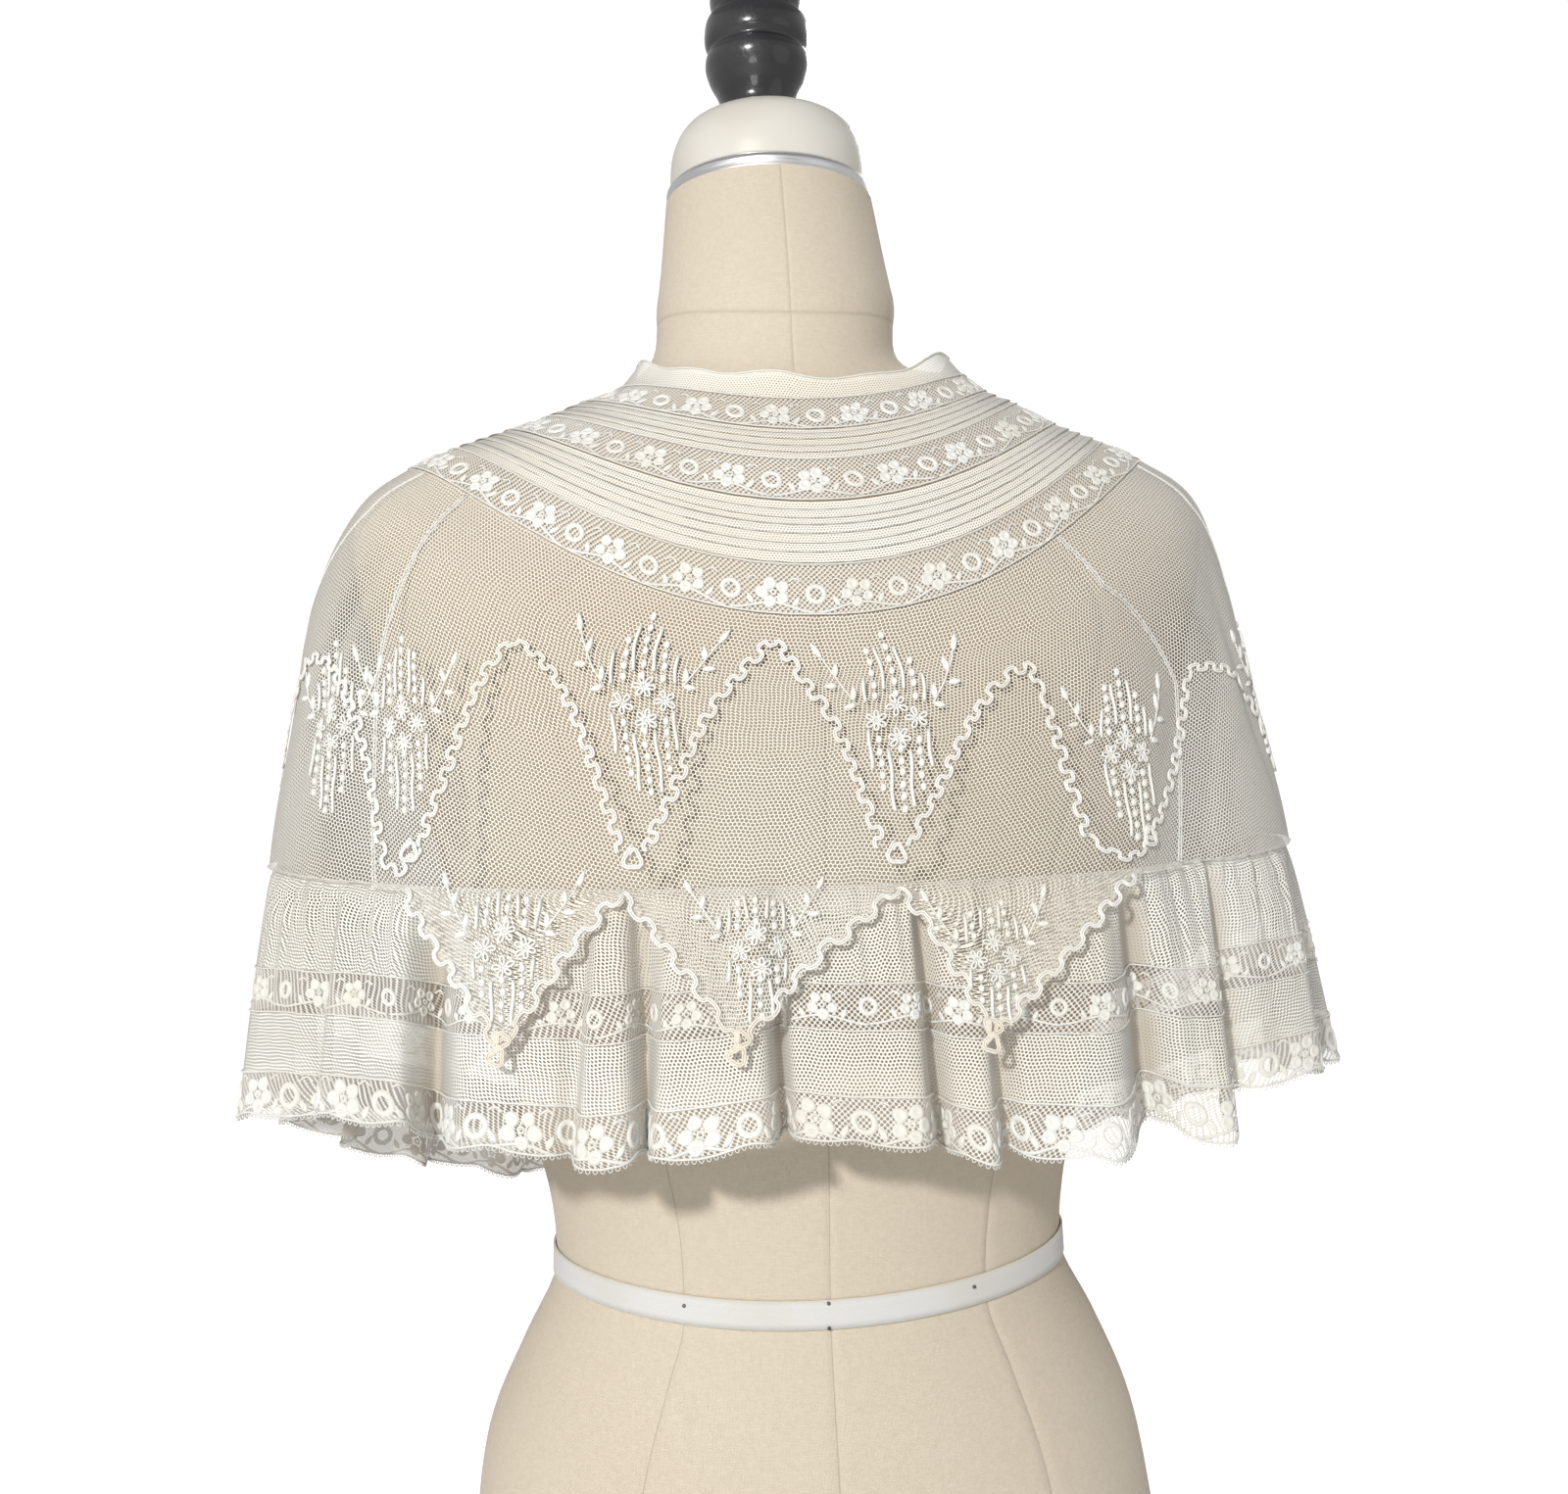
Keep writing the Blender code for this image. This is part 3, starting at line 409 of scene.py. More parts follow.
def make_lace_ground(name, inside_doubling_and_shade):
    material, tree, shader = new_finish(name, roughness=0.9, sheen=0.1)
    glow_inside(tree, shader, GROUND_WHITE)
    colour = aged_colour(tree, shader, solid_place(tree), GROUND_WHITE, GROUND_AGED,
                         cloud_size=14.0)[1]
    threads = use_group(tree, ground_group, cloth_place(tree), GROUND_CELL, GROUND_HOLE)
    facing = node(tree, "ShaderNodeLayerWeight", 0.5).outputs["Facing"]
    covered = closed_by_slant(tree, threads.outputs["Threads"], facing, LACE_CLOSING)
    inside = on_inside(tree)
    doubled_and_shaded = maths(tree, "MULTIPLY", inside, inside_doubling_and_shade)
    covered = maths(tree, "MAXIMUM", covered, doubled_and_shaded)
    # Painted shade: grey on the lace's inside, brown in the valleys between folds
    colour = mix_colours(tree, doubled_and_shaded, colour, NET_SHADED)
    valley = marked(tree, "valley")
    tree.links.new(mix_colours(tree, valley, colour, VALLEY_SHADE), shader.inputs["Base Color"])
    tree.links.new(held_back(tree, covered, GROUND_SHADOW), shader.inputs["Alpha"])
    return material


yoke_ground = make_lace_ground("yoke_ground", 0.1)
ruffle_ground = make_lace_ground("ruffle_ground", 0.6)
print("lace ground with cells of", GROUND_CELL / MM, "mm")

# %% [markdown]
# Flowers, stitches and braid are cotton thread. Its fibres are too fine to model, so a fine
# grain in the bump stands for them. The braid's points carry how far it has yellowed.

# %% Thread
YELLOWED = (0.62, 0.50, 0.31)
LACE_WHITE = (0.72, 0.72, 0.69)
LACE_AGED = (0.68, 0.66, 0.60)
STITCH_WHITE = (0.75, 0.75, 0.72)
STITCH_AGED = (0.72, 0.71, 0.65)
BRAID_WHITE = (0.80, 0.79, 0.76)
BRAID_AGED = (0.77, 0.75, 0.69)


def make_thread(name, clean, aged, roughness, distance):
    """Cotton thread, whose grain is fine fibres and whose marked ends have yellowed."""
    material, tree, shader = new_finish(name, roughness=roughness, sheen=0.25)
    grain, colour = aged_colour(tree, shader, solid_place(tree), clean, aged, 20.0, 2500.0)
    colour = mix_colours(tree, marked(tree, "yellowing"), colour, YELLOWED)
    tree.links.new(colour, shader.inputs["Base Color"])
    add_bump(tree, shader, grain, distance)
    return material


lace_thread = make_thread("lace_thread", LACE_WHITE, LACE_AGED, 0.75, 0.10 * MM)
sewing_thread = make_thread("sewing_thread", STITCH_WHITE, STITCH_AGED, 0.6, 0.08 * MM)
braid_thread = make_thread("braid_thread", BRAID_WHITE, BRAID_AGED, 0.6, 0.10 * MM)
print("threads of lace, sewing and braid")

# %% [markdown]
# The form has a cover of linen with slubs, a herringbone tape, and fittings of aluminium,
# plastic and lacquer. Pictures of cloth could be laid on it, but patterns worked out from
# metres keep their size and stay sharp from close by.

# %% Linen
WEAVE_PITCH = 0.55 * MM

linen, tree, shader = new_finish("linen", roughness=0.88, sheen=0.1)
grain, colour = aged_colour(tree, shader, solid_place(tree), (0.63, 0.56, 0.455),
                            (0.585, 0.50, 0.39), 6.0, 500.0)
colour = mix_colours(tree, ramp(tree, grain, 0.35, 0.68, 0.0, 0.16), colour, (0.42, 0.34, 0.24))
weave = use_group(tree, weave_group, cloth_place(tree), WEAVE_PITCH)
stretch = vectors(tree, "MULTIPLY", cloth_place(tree), (1.0, 12.0, 1.0))
slubs = node(tree, "ShaderNodeTexNoise", stretch, None, 160.0, 2.0)
slubs = ramp(tree, slubs.outputs["Fac"], 0.45, 0.75, 0.0, 0.35)
colour = mix_colours(tree, slubs, colour, (0.74, 0.66, 0.53))
# Painted shade: the linen darkens where the weave sinks between its threads
gap = ramp(tree, weave.outputs["Height"], 0.1, 0.6, 0.32, 0.0)
colour = mix_colours(tree, gap, colour, (0.40, 0.32, 0.22))
seam_line = ramp(tree, marked(tree, "seam"), 0.5, 0.9, 0.0, 0.5)
colour = mix_colours(tree, seam_line, colour, (0.30, 0.24, 0.16))
tree.links.new(colour, shader.inputs["Base Color"])
add_bump(tree, shader, weave.outputs["Height"], 0.10 * MM, 0.7)

# %% Twill tape
TAPE_WIDTH = 12.0 * MM
TAPE_YELLOW_FROM = 5.3 * MM
HERRINGBONE_WIDTH = 3.0 * MM
TWILL_PITCH = 1.1 * MM

twill_tape, tree, shader = new_finish("twill_tape", roughness=0.8, sheen=0.2)
colour = aged_colour(tree, shader, solid_place(tree), (0.66, 0.66, 0.655), (0.63, 0.62, 0.58),
                     30.0, 800.0)[1]
parts = node(tree, "ShaderNodeSeparateXYZ", cloth_place(tree))
ribs = maths(tree, "PINGPONG", parts.outputs[1], HERRINGBONE_WIDTH)
slanted = maths(tree, "DIVIDE", maths(tree, "ADD", parts.outputs[0], ribs), TWILL_PITCH)
twill = maths(tree, "PINGPONG", slanted, 0.5)
shade = ramp(tree, twill, 0.0, 0.5, 0.5, 0.0)
colour = mix_colours(tree, shade, colour, (0.50, 0.49, 0.46))
edge = maths(tree, "ABSOLUTE", maths(tree, "SUBTRACT", parts.outputs[1], TAPE_WIDTH / 2))
yellow = ramp(tree, edge, TAPE_YELLOW_FROM, TAPE_WIDTH / 2, 0.0, 0.6)
colour = mix_colours(tree, yellow, colour, (0.72, 0.66, 0.48))
tree.links.new(colour, shader.inputs["Base Color"])
add_bump(tree, shader, twill, 0.15 * MM)

# %% Metal, plastic and lacquer
satin_aluminium, tree, shader = new_finish("satin_aluminium", roughness=0.32, metallic=1.0)
stretch = vectors(tree, "MULTIPLY", solid_place(tree), (1.0, 1.0, 30.0))
brushed = node(tree, "ShaderNodeTexNoise", stretch, None, 60.0, 3.0).outputs["Fac"]
tree.links.new(mix_colours(tree, brushed, (0.72, 0.72, 0.73), (0.86, 0.86, 0.87)),
               shader.inputs["Base Color"])
tree.links.new(ramp(tree, brushed, 0.3, 0.7, 0.26, 0.42), shader.inputs["Roughness"])

cream_cap, tree, shader = new_finish("cream_cap", roughness=0.4, coat=0.2)
grain = aged_colour(tree, shader, solid_place(tree), (0.62, 0.60, 0.55), (0.57, 0.54, 0.48),
                    25.0, 400.0)[0]
add_bump(tree, shader, grain, 0.08 * MM, 0.5)

black_lacquer, tree, shader = new_finish("black_lacquer", roughness=0.22, coat=0.6)
grain = aged_colour(tree, shader, solid_place(tree), (0.012, 0.012, 0.014),
                    (0.028, 0.027, 0.030), 40.0, 700.0)[0]
tree.links.new(ramp(tree, grain, 0.3, 0.7, 0.16, 0.30), shader.inputs["Roughness"])
add_bump(tree, shader, grain, 0.05 * MM, 0.4)

pin_steel, tree, shader = new_finish("pin_steel", roughness=0.3, metallic=1.0)
aged_colour(tree, shader, solid_place(tree), (0.22, 0.22, 0.23), (0.12, 0.11, 0.10), 60.0, 900.0)
print(len(bpy.data.materials), "materials")

# %% [markdown]
# Everything is built from grids and flat drawings. A grid of points becomes a sheet of quads,
# and its UV map is laid in metres so that woven patterns keep their size. One function adds a
# finished piece: it makes the mesh, gives it its material and lets it ride on the body.

# %% Helpers for meshes


def unit(arrows):
    return arrows / np.linalg.norm(arrows, axis=-1, keepdims=True)


def full_turn(steps):
    """Evenly spaced angles round a whole turn."""
    return 2 * math.pi * np.arange(steps) / steps


def travelled(points, axis):
    """How far each point of a grid lies along its row or column."""
    steps = np.linalg.norm(np.diff(points, axis=axis), axis=-1)
    start = np.zeros_like(np.take(steps, [0], axis=axis))
    return np.concatenate([start, np.cumsum(steps, axis=axis)], axis=axis)


def line_travelled(line):
    """How far each point of a line lies along it."""
    return travelled(line[:, None], 0)[:, 0]


def line_length(line):
    return float(np.linalg.norm(np.diff(line, axis=0), axis=1).sum())


def grid_faces(rows, columns, closed=False, looped=False):
    """Quads of a grid that face outwards where columns run along and rows run down. A closed
    grid joins its last column to its first, and a looped one its last row to its first."""
    index = np.arange(rows * columns).reshape(rows, columns)
    if closed:
        index = np.concatenate([index, index[:, :1]], axis=1)
    if looped:
        index = np.concatenate([index, index[:1]], axis=0)
    corners = (index[:-1, :-1], index[:-1, 1:], index[1:, 1:], index[1:, :-1])
    return np.stack([corner.ravel() for corner in corners], -1)


def new_piece(name, points, faces, material, slot, corner_uv=None, marks=None):
    """Adds one finished piece; marks holds named values for each of its points."""
    mesh = bpy.data.meshes.new(name)
    points = np.asarray(points).reshape(-1, 3)
    mesh.from_pydata(points.tolist(), [], faces if isinstance(faces, list) else faces.tolist())
    if corner_uv is not None:
        layer = mesh.uv_layers.new(name=UV_NAME)
        layer.data.foreach_set("uv", np.asarray(corner_uv, np.float32).ravel())
    for label, values in (marks or {}).items():
        attribute = mesh.attributes.new(label, "FLOAT", "POINT")
        attribute.data.foreach_set("value", np.asarray(values, np.float32).ravel())
    mesh.shade_smooth()
    piece = bpy.data.objects.new(name, mesh)
    bpy.context.scene.collection.objects.link(piece)
    mesh.materials.append(material)
    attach(piece, BODY)
    print(name, "has", len(mesh.polygons), "faces")
    return piece


# %% [markdown]
# What is sewn onto cloth has to find its place on it. So a sheet keeps the lengths along its
# rows and columns, and says where a place between its points lies, and which place is so far
# along and so far down from another.

# %% Cloth as a grid


class Sheet:
    """Cloth as a grid of points: columns run along it and rows run down it."""

    def __init__(self, points):
        self.points = points
        self.rows, self.columns = points.shape[:2]
        facing = np.cross(np.gradient(points, axis=1), np.gradient(points, axis=0))
        self.normals = unit(facing)
        self.along = travelled(points, 1)
        self.down = travelled(points, 0)

    def at(self, row, column, lift):
        """Points part of the way between rows and columns, lifted off the cloth."""
        row = np.clip(row, 0, self.rows - 1)
        column = np.clip(column, 0, self.columns - 1)
        top = np.minimum(row.astype(int), self.rows - 2)
        left = np.minimum(column.astype(int), self.columns - 2)
        low, over = (row - top)[..., None], (column - left)[..., None]
        blended = []
        for values in (self.points, self.normals):
            upper = values[top, left] * (1 - over) + values[top, left + 1] * over
            lower = values[top + 1, left] * (1 - over) + values[top + 1, left + 1] * over
            blended.append(upper * (1 - low) + lower * low)
        return blended[0] + unit(blended[1]) * np.asarray(lift)[..., None]

    def walk(self, row, column, x, y):
        """Goes x along and y down from a place, measured on the cloth itself."""
        left = min(int(column), self.columns - 2)
        share = column - left
        depth = self.down[:, left] * (1 - share) + self.down[:, left + 1] * share
        levels = np.arange(self.rows)
        rows = np.interp(np.interp(row, levels, depth) + y, depth, levels)
        top = np.minimum(rows.astype(int), self.rows - 2)
        low = (rows - top)[:, None]
        along = self.along[top] * (1 - low) + self.along[top + 1] * low
        goal = along[:, left] * (1 - share) + along[:, left + 1] * share + x
        found = np.clip((along < goal[:, None]).sum(1) - 1, 0, self.columns - 2)
        each = np.arange(len(goal))
        start, stop = along[each, found], along[each, found + 1]
        return rows, found + (goal - start) / (stop - start)

    def column_at(self, row, distance):
        """The column that lies a distance along one of the rows."""
        return float(np.interp(distance, self.along[row], np.arange(self.columns)))

    def corner_uv(self, u_shift=0.0):
        """UV in metres for each quad's corners: u along from the middle, v down."""
        middle = self.columns // 2
        u = self.along - self.along[:, [middle]] + u_shift
        uv = np.stack([u, self.down], -1).reshape(-1, 2)
        return uv[grid_faces(self.rows, self.columns)]


def sheet_piece(name, sheet, material, slot, marks=None):
    return new_piece(name, sheet.points, grid_faces(sheet.rows, sheet.columns), material, slot,
                     sheet.corner_uv(), marks)


# %% [markdown]
# Lace flowers, embroidery and braid are drawn flat first, with x along the cloth, y down it
# and a height, and then pressed onto it. A thread is a thin tube, and a padded shape is a
# low dome. Drawing flat keeps each motif readable, and pressing bends it round the body.

# %% Flat threads and pads


def to_left(ahead):
    """The flat arrows square to others, on their left."""
    return np.stack([-ahead[:, 1], ahead[:, 0]], -1)


def flat_cord(path, width, height, sides=5, closed=False):
    """A thread along a flat path, as a tube that lies on the cloth."""
    path = np.asarray(path, float)
    ahead = np.roll(path, -1, 0) - np.roll(path, 1, 0) if closed else np.gradient(path, axis=0)
    left = to_left(unit(ahead))
    turn = 2 * math.pi * (np.arange(sides) + 0.5) / sides
    points = np.zeros((len(path), sides, 3))
    points[..., :2] = path[:, None] + left[:, None] * (np.cos(turn) * width / 2)[:, None]
    points[..., 2] = (np.sin(turn) + 1) * height / 2
    count = len(path)
    faces = grid_faces(count, sides, closed=True, looped=closed).tolist()
    if not closed:
        faces.append(list(range(sides))[::-1])
        faces.append(list(range((count - 1) * sides, count * sides)))
    return points.reshape(-1, 3), faces


def flat_pad(outline, height, profile=((1.0, 0.0), (0.9, 0.75), (0.6, 1.0), (0.25, 0.85))):
    """A padded shape as a low dome inside its outline; profile is (size, height) rows."""
    outline = np.asarray(outline, float)
    centre = outline.mean(0)
    rings = []
    for size, rise in profile:
        flat = centre + (outline - centre) * size
        rings.append(np.column_stack([flat, np.full(len(flat), rise * height)]))
    count = len(outline)
    faces = grid_faces(len(rings), count, closed=True).tolist()
    points = np.concatenate(rings + [[[*centre, profile[-1][1] * height]]])
    last = (len(rings) - 1) * count
    faces += [[last + i, last + (i + 1) % count, len(points) - 1] for i in range(count)]
    return points, faces


def flat_ring(centre, outer, inner, height, steps=16):
    """A padded ring."""
    turn = full_turn(steps)
    circle = np.stack([np.cos(turn), np.sin(turn)], -1)
    rings = []
    for share, rise in ((0.0, 0.0), (0.2, 0.8), (0.5, 1.0), (0.8, 0.8), (1.0, 0.0)):
        flat = np.asarray(centre) + circle * (outer + (inner - outer) * share)
        rings.append(np.column_stack([flat, np.full(steps, rise * height)]))
    return np.concatenate(rings), grid_faces(len(rings), steps, closed=True).tolist()


# %% Outlines


def round_outline(x, y, radius, steps=12, petals=0, depth=0.0, turn=0.0):
    """A circle, or a scalloped one with a number of petals."""
    angle = full_turn(steps)
    reach = radius * (1 + depth * np.cos(petals * (angle - turn)))
    return np.stack([x + reach * np.cos(angle), y + reach * np.sin(angle)], -1)


def leaf_outline(base, tip, width, steps=10):
    """A pointed leaf between two places."""
    base, tip = np.asarray(base, float), np.asarray(tip, float)
    share = np.linspace(0, 1, steps // 2 + 1)
    middle = base + (tip - base) * share[:, None]
    side = np.array([-(tip - base)[1], (tip - base)[0]]) / np.linalg.norm(tip - base)
    bulge = (np.sin(math.pi * share ** 0.8) * width / 2)[:, None] * side
    return np.concatenate([(middle - bulge), (middle + bulge)[-2:0:-1]])


# %% Joining, moving and pressing drawings


def join_flat(drawings):
    """Joins flat drawings into one."""
    points, faces, offset = [], [], 0
    for some_points, some_faces in drawings:
        points.append(some_points)
        faces += [[offset + corner for corner in face] for face in some_faces]
        offset += len(some_points)
    return np.concatenate(points), faces


def moved_flat(drawing, x, y, turn=0.0, grow=1.0):
    points, faces = drawing
    cos, sin = math.cos(turn) * grow, math.sin(turn) * grow
    shifted = points.copy()
    shifted[:, 0] = x + points[:, 0] * cos - points[:, 1] * sin
    shifted[:, 1] = y + points[:, 0] * sin + points[:, 1] * cos
    return shifted, faces


def lifted(drawing, lift):
    points, faces = drawing
    return points + [0, 0, lift], faces


def press(drawing, sheet, row, column, lift):
    """Bends a flat drawing onto a sheet round a place on it."""
    points, faces = drawing
    rows, columns = sheet.walk(row, column, points[:, 0], points[:, 1])
    return sheet.at(rows, columns, points[:, 2] + lift), faces


def bend_along(drawing, line, normals):
    """Bends a flat drawing, x along and y across, onto a line in space."""
    points, faces = drawing
    lengths = line_travelled(line)
    side = unit(np.cross(normals, np.gradient(line, axis=0)))
    parts = [np.stack([np.interp(points[:, 0], lengths, values[:, i]) for i in range(3)], -1)
             for values in (line, side, normals)]
    return parts[0] + parts[1] * points[:, [1]] + parts[2] * points[:, [2]], faces


# %% [markdown]
# The form is a padded body under a linen cover, sewn from panels. Its shape comes from the
# same rows as the solid, with a smooth curve between them: each row is a squared oval, and
# the shoulders are the cape's own rings, a hair inside, so the cloth lies close on them.

# %% Rings of the cape and the form
RINGS = {
    # z_back, z_left, z_right, z_front, back, front, left, right, squareness, sweep
    "neck_edge": (0.649, 0.667, 0.673, 0.612, 0.058, 0.066, 0.068, 0.081, 2.00, 2.0),
    "band_1_top": (0.6385, 0.656, 0.664, 0.597, 0.062, 0.074, 0.079, 0.089, 2.00, 2.1),
    "band_1_foot": (0.622, 0.649, 0.656, 0.581, 0.073, 0.086, 0.097, 0.099, 2.00, 2.1),
    "band_2_top": (0.607, 0.642, 0.650, 0.565, 0.083, 0.095, 0.114, 0.113, 2.00, 2.1),
    "band_2_foot": (0.587, 0.635, 0.639, 0.548, 0.092, 0.104, 0.132, 0.132, 2.05, 2.3),
    "band_3_top": (0.559, 0.626, 0.630, 0.520, 0.102, 0.114, 0.156, 0.153, 2.15, 2.4),
    "band_3_foot": (0.537, 0.617, 0.621, 0.502, 0.107, 0.120, 0.175, 0.172, 2.15, 2.5),
    "shoulder": (0.515, 0.599, 0.602, 0.480, 0.112, 0.126, 0.197, 0.196, 2.30, 2.4),
    "arm": (0.495, 0.560, 0.560, 0.458, 0.118, 0.133, 0.216, 0.210, 2.30, 2.2),
    "elbow": (0.465, 0.500, 0.500, 0.418, 0.127, 0.144, 0.227, 0.222, 2.30, 2.0),
    "ruffle_seam": (0.429, 0.4405, 0.4405, 0.362, 0.138, 0.155, 0.237, 0.234, 2.30, 1.3),
    "hem": (0.329, 0.340, 0.345, 0.252, 0.154, 0.166, 0.243, 0.241, 2.30, 0.8),
}
BAND_3_FOOT, SHOULDER, RUFFLE_SEAM, HEM = 6, 7, 10, 11
FRONT_EDGE = 178.0
ANGLE_STEP = math.radians(0.5)
RING_STEP = 0.02

# Seams between the net panels: ring position, then degrees from centre back
SEAM_COLUMNS = ("ring", "shoulder_right", "back_right", "back_left", "shoulder_left")
SEAMS = (
    (6.0, -66.5, -37.0, 53.5, 67.0),
    (7.0, -67.0, -36.5, 52.5, 70.0),
    (8.5, -80.0, -47.0, 53.0, 84.0),
    (10.0, -86.0, -38.0, 47.5, 93.0),
)
SEAM_FOLDS = {"back_right": (9.0 * MM, 7.0), "back_left": (4.0 * MM, 6.0)}
SEAM_FOLD_TOP, SEAM_FOLD_FULL = 7.0, 8.5


# %% Points of the cloth


def smooth_between(start, end, leaving, arriving, part):
    """A smooth curve from start to end, from the arrows with which it leaves and arrives."""
    eased = 3 * part ** 2 - 2 * part ** 3
    return ((1 - eased) * start + eased * end + (part ** 3 - 2 * part ** 2 + part) * leaving
            + (part ** 3 - part ** 2) * arriving)


def ring_values(ring):
    """The ring table at any position between its rows, as one smooth curve a column."""
    table = np.array(list(RINGS.values()))
    ring = np.clip(np.asarray(ring, float), 0.0, HEM)
    low = np.minimum(np.floor(ring).astype(int), HEM - 1)
    part = (ring - low)[..., None]
    before, start = table[np.maximum(low - 1, 0)], table[low]
    end, after = table[low + 1], table[np.minimum(low + 2, HEM)]
    return smooth_between(start, end, (end - before) / 2, (after - start) / 2, part)


def place_on_ring(values, angle):
    """Points on a squared oval ring whose height follows the angle from centre back."""
    columns = np.moveaxis(values, -1, 0)
    z_back, z_left, z_right, z_front, back, front, left, right, square, sweep = columns
    toward_back, toward_left = np.cos(angle), np.sin(angle)
    half_width = np.where(toward_left >= 0, left, right)
    depth = np.where(toward_back >= 0, back, front)
    z_side = (z_left + z_right) / 2 + (z_left - z_right) / 2 * toward_left
    z_middle = np.where(toward_back >= 0, z_back, z_front)
    x = half_width * np.sign(toward_left) * np.abs(toward_left) ** (2 / square)
    y = depth * np.sign(toward_back) * np.abs(toward_back) ** (2 / square)
    z = z_side + (z_middle - z_side) * np.abs(toward_back) ** sweep
    return np.stack([x, y, z], -1)


def seam_angle(name, ring):
    rows = np.array(SEAMS)
    return np.interp(ring, rows[:, 0], rows[:, SEAM_COLUMNS.index(name)])


def seam_fold_depth(ring, angle):
    """How far the net dips into the soft folds along the two back seams."""
    grown = np.clip((ring - SEAM_FOLD_TOP) / (SEAM_FOLD_FULL - SEAM_FOLD_TOP), 0.0, 1.0)
    depth = np.zeros(np.broadcast(ring, angle).shape)
    for name, (fold_depth, width) in SEAM_FOLDS.items():
        away = (np.degrees(angle) - seam_angle(name, ring)) / width
        depth = depth + fold_depth * grown * np.exp(-away ** 2)
    return depth


def plain_point(ring, angle):
    return place_on_ring(ring_values(ring), angle)


def cloth_point(ring, angle, out=0.0, fold=0.0):
    """Points of the cape's cloth, moved out along its normal and by the height of a fold."""
    ring, angle = np.broadcast_arrays(np.asarray(ring, float), np.asarray(angle, float))
    across = plain_point(ring, angle + ANGLE_STEP) - plain_point(ring, angle - ANGLE_STEP)
    below = plain_point(np.minimum(ring + RING_STEP, HEM), angle)
    above = plain_point(np.maximum(ring - RING_STEP, 0.0), angle)
    normal = unit(np.cross(across, below - above))
    level = unit(normal * np.array([1.0, 1.0, 0.0]))
    dip_kept = 1 - np.clip(ring - RUFFLE_SEAM, 0.0, 1.0)
    height = fold - seam_fold_depth(ring, angle) * dip_kept
    moved = normal * np.asarray(out)[..., None] + level * height[..., None]
    return plain_point(ring, angle) + moved


print("the ruffle's seam is", round(line_length(plain_point(
    np.full(361, float(RUFFLE_SEAM)), np.radians(np.arange(-180, 181)))), 3), "m round")

# %% [markdown]
# The linen cover is sewn from panels. They could be modelled apart, but they lie edge to edge,
# so the cover is one surface with a fine groove and a dark line along every seam.

# %% Rings of the form
FORM_RINGS = (
    # z_back, z_side, back, front, left, right, squareness
    (0.0000, 0.0000, 0.112, 0.108, 0.160, 0.166, 2.2),
    (0.0600, 0.0600, 0.118, 0.112, 0.163, 0.169, 2.2),
    (0.1310, 0.1310, 0.112, 0.108, 0.154, 0.160, 2.2),
    (0.1860, 0.1860, 0.100, 0.102, 0.145, 0.1505, 2.1),
    (0.2200, 0.2200, 0.092, 0.095, 0.1295, 0.1365, 2.0),
    (0.2435, 0.2500, 0.088, 0.092, 0.1152, 0.1222, 2.0),
    (0.2555, 0.2620, 0.088, 0.092, 0.1148, 0.1218, 2.0),
    (0.2800, 0.2840, 0.091, 0.098, 0.117, 0.124, 2.0),
    (0.3300, 0.3300, 0.097, 0.115, 0.130, 0.134, 2.1),
    (0.3950, 0.3950, 0.104, 0.140, 0.148, 0.150, 2.2),
    (0.4450, 0.4450, 0.110, 0.132, 0.166, 0.168, 2.3),
)
FORM_SWEEP = 2.0
ARMHOLE_RING = (0.480, 0.520, 0.520, 0.462, 0.116, 0.128, 0.188, 0.187, 2.3, 2.0)
NECK_RINGS = (
    # z_back, z_side, z_front, radius, how far the centre leans forward
    (0.650, 0.668, 0.612, 0.0580, 0.004),
    (0.700, 0.706, 0.680, 0.0560, 0.012),
    (0.7606, 0.7606, 0.7606, 0.0515, 0.028),
)
NECK_TOP, NECK_LEAN = 0.7606, 0.028
NECK_FLARES = (1.13, 1.03, 1.0)
NECK_SEAM_SHARE = 0.62
FORM_CLEARANCE, SHOULDER_EASE = 0.1 * MM, 1.0 * MM
# Cover seams in degrees from centre back; each has a column on it and one on each side
COVER_SEAMS = (-180.0, -146.0, -94.0, -35.0, 0.0, 31.5, 94.0, 146.0, 180.0)
SEAM_HALF_WIDTH = 0.32
PANEL_STEPS = 22
COVER_STEP = 6.0 * MM
SEAM_DEPTH = 0.35 * MM
SIDE_SEAMS_END = 0.60
NECK_SEAM_STRENGTH = 0.75


def form_ring(row, angles, grow=0.0):
    z_back, z_side, back, front, left, right, square = row
    values = np.array([z_back, z_side, z_side, z_back, back + grow, front + grow, left + grow,
                       right + grow, square, FORM_SWEEP])
    return place_on_ring(np.broadcast_to(values, (len(angles), len(values))), angles)


def neck_ring(row, angles):
    z_back, z_side, z_front, radius, lean = row
    toward_back = np.cos(angles)
    z_middle = np.where(toward_back >= 0, z_back, z_front)
    return np.stack([radius * np.sin(angles), radius * toward_back - lean,
                     z_side + (z_middle - z_side) * toward_back ** 2], -1)


def smooth_rows(rows, step):
    """A smooth curve through each column of the rows, cut into steps of about one length."""
    rows = np.asarray(rows, float)
    lengths = np.linalg.norm(np.diff(rows, axis=0), axis=-1).mean(1)
    slopes = np.diff(rows, axis=0) / lengths[:, None, None]
    weight = lengths[:, None, None]
    middle = (slopes[1:] * weight[:-1] + slopes[:-1] * weight[1:]) / (weight[1:] + weight[:-1])
    tangents = np.concatenate([slopes[:1], middle, slopes[-1:]])
    made, origins = [], []
    for index, length in enumerate(lengths):
        count = max(1, round(length / step))
        for part in np.arange(count) / count:
            made.append(smooth_between(rows[index], rows[index + 1], tangents[index] * length,
                                       tangents[index + 1] * length, part))
            origins.append(index + part)
    return np.array(made + [rows[-1]]), np.array(origins + [len(rows) - 1.0])


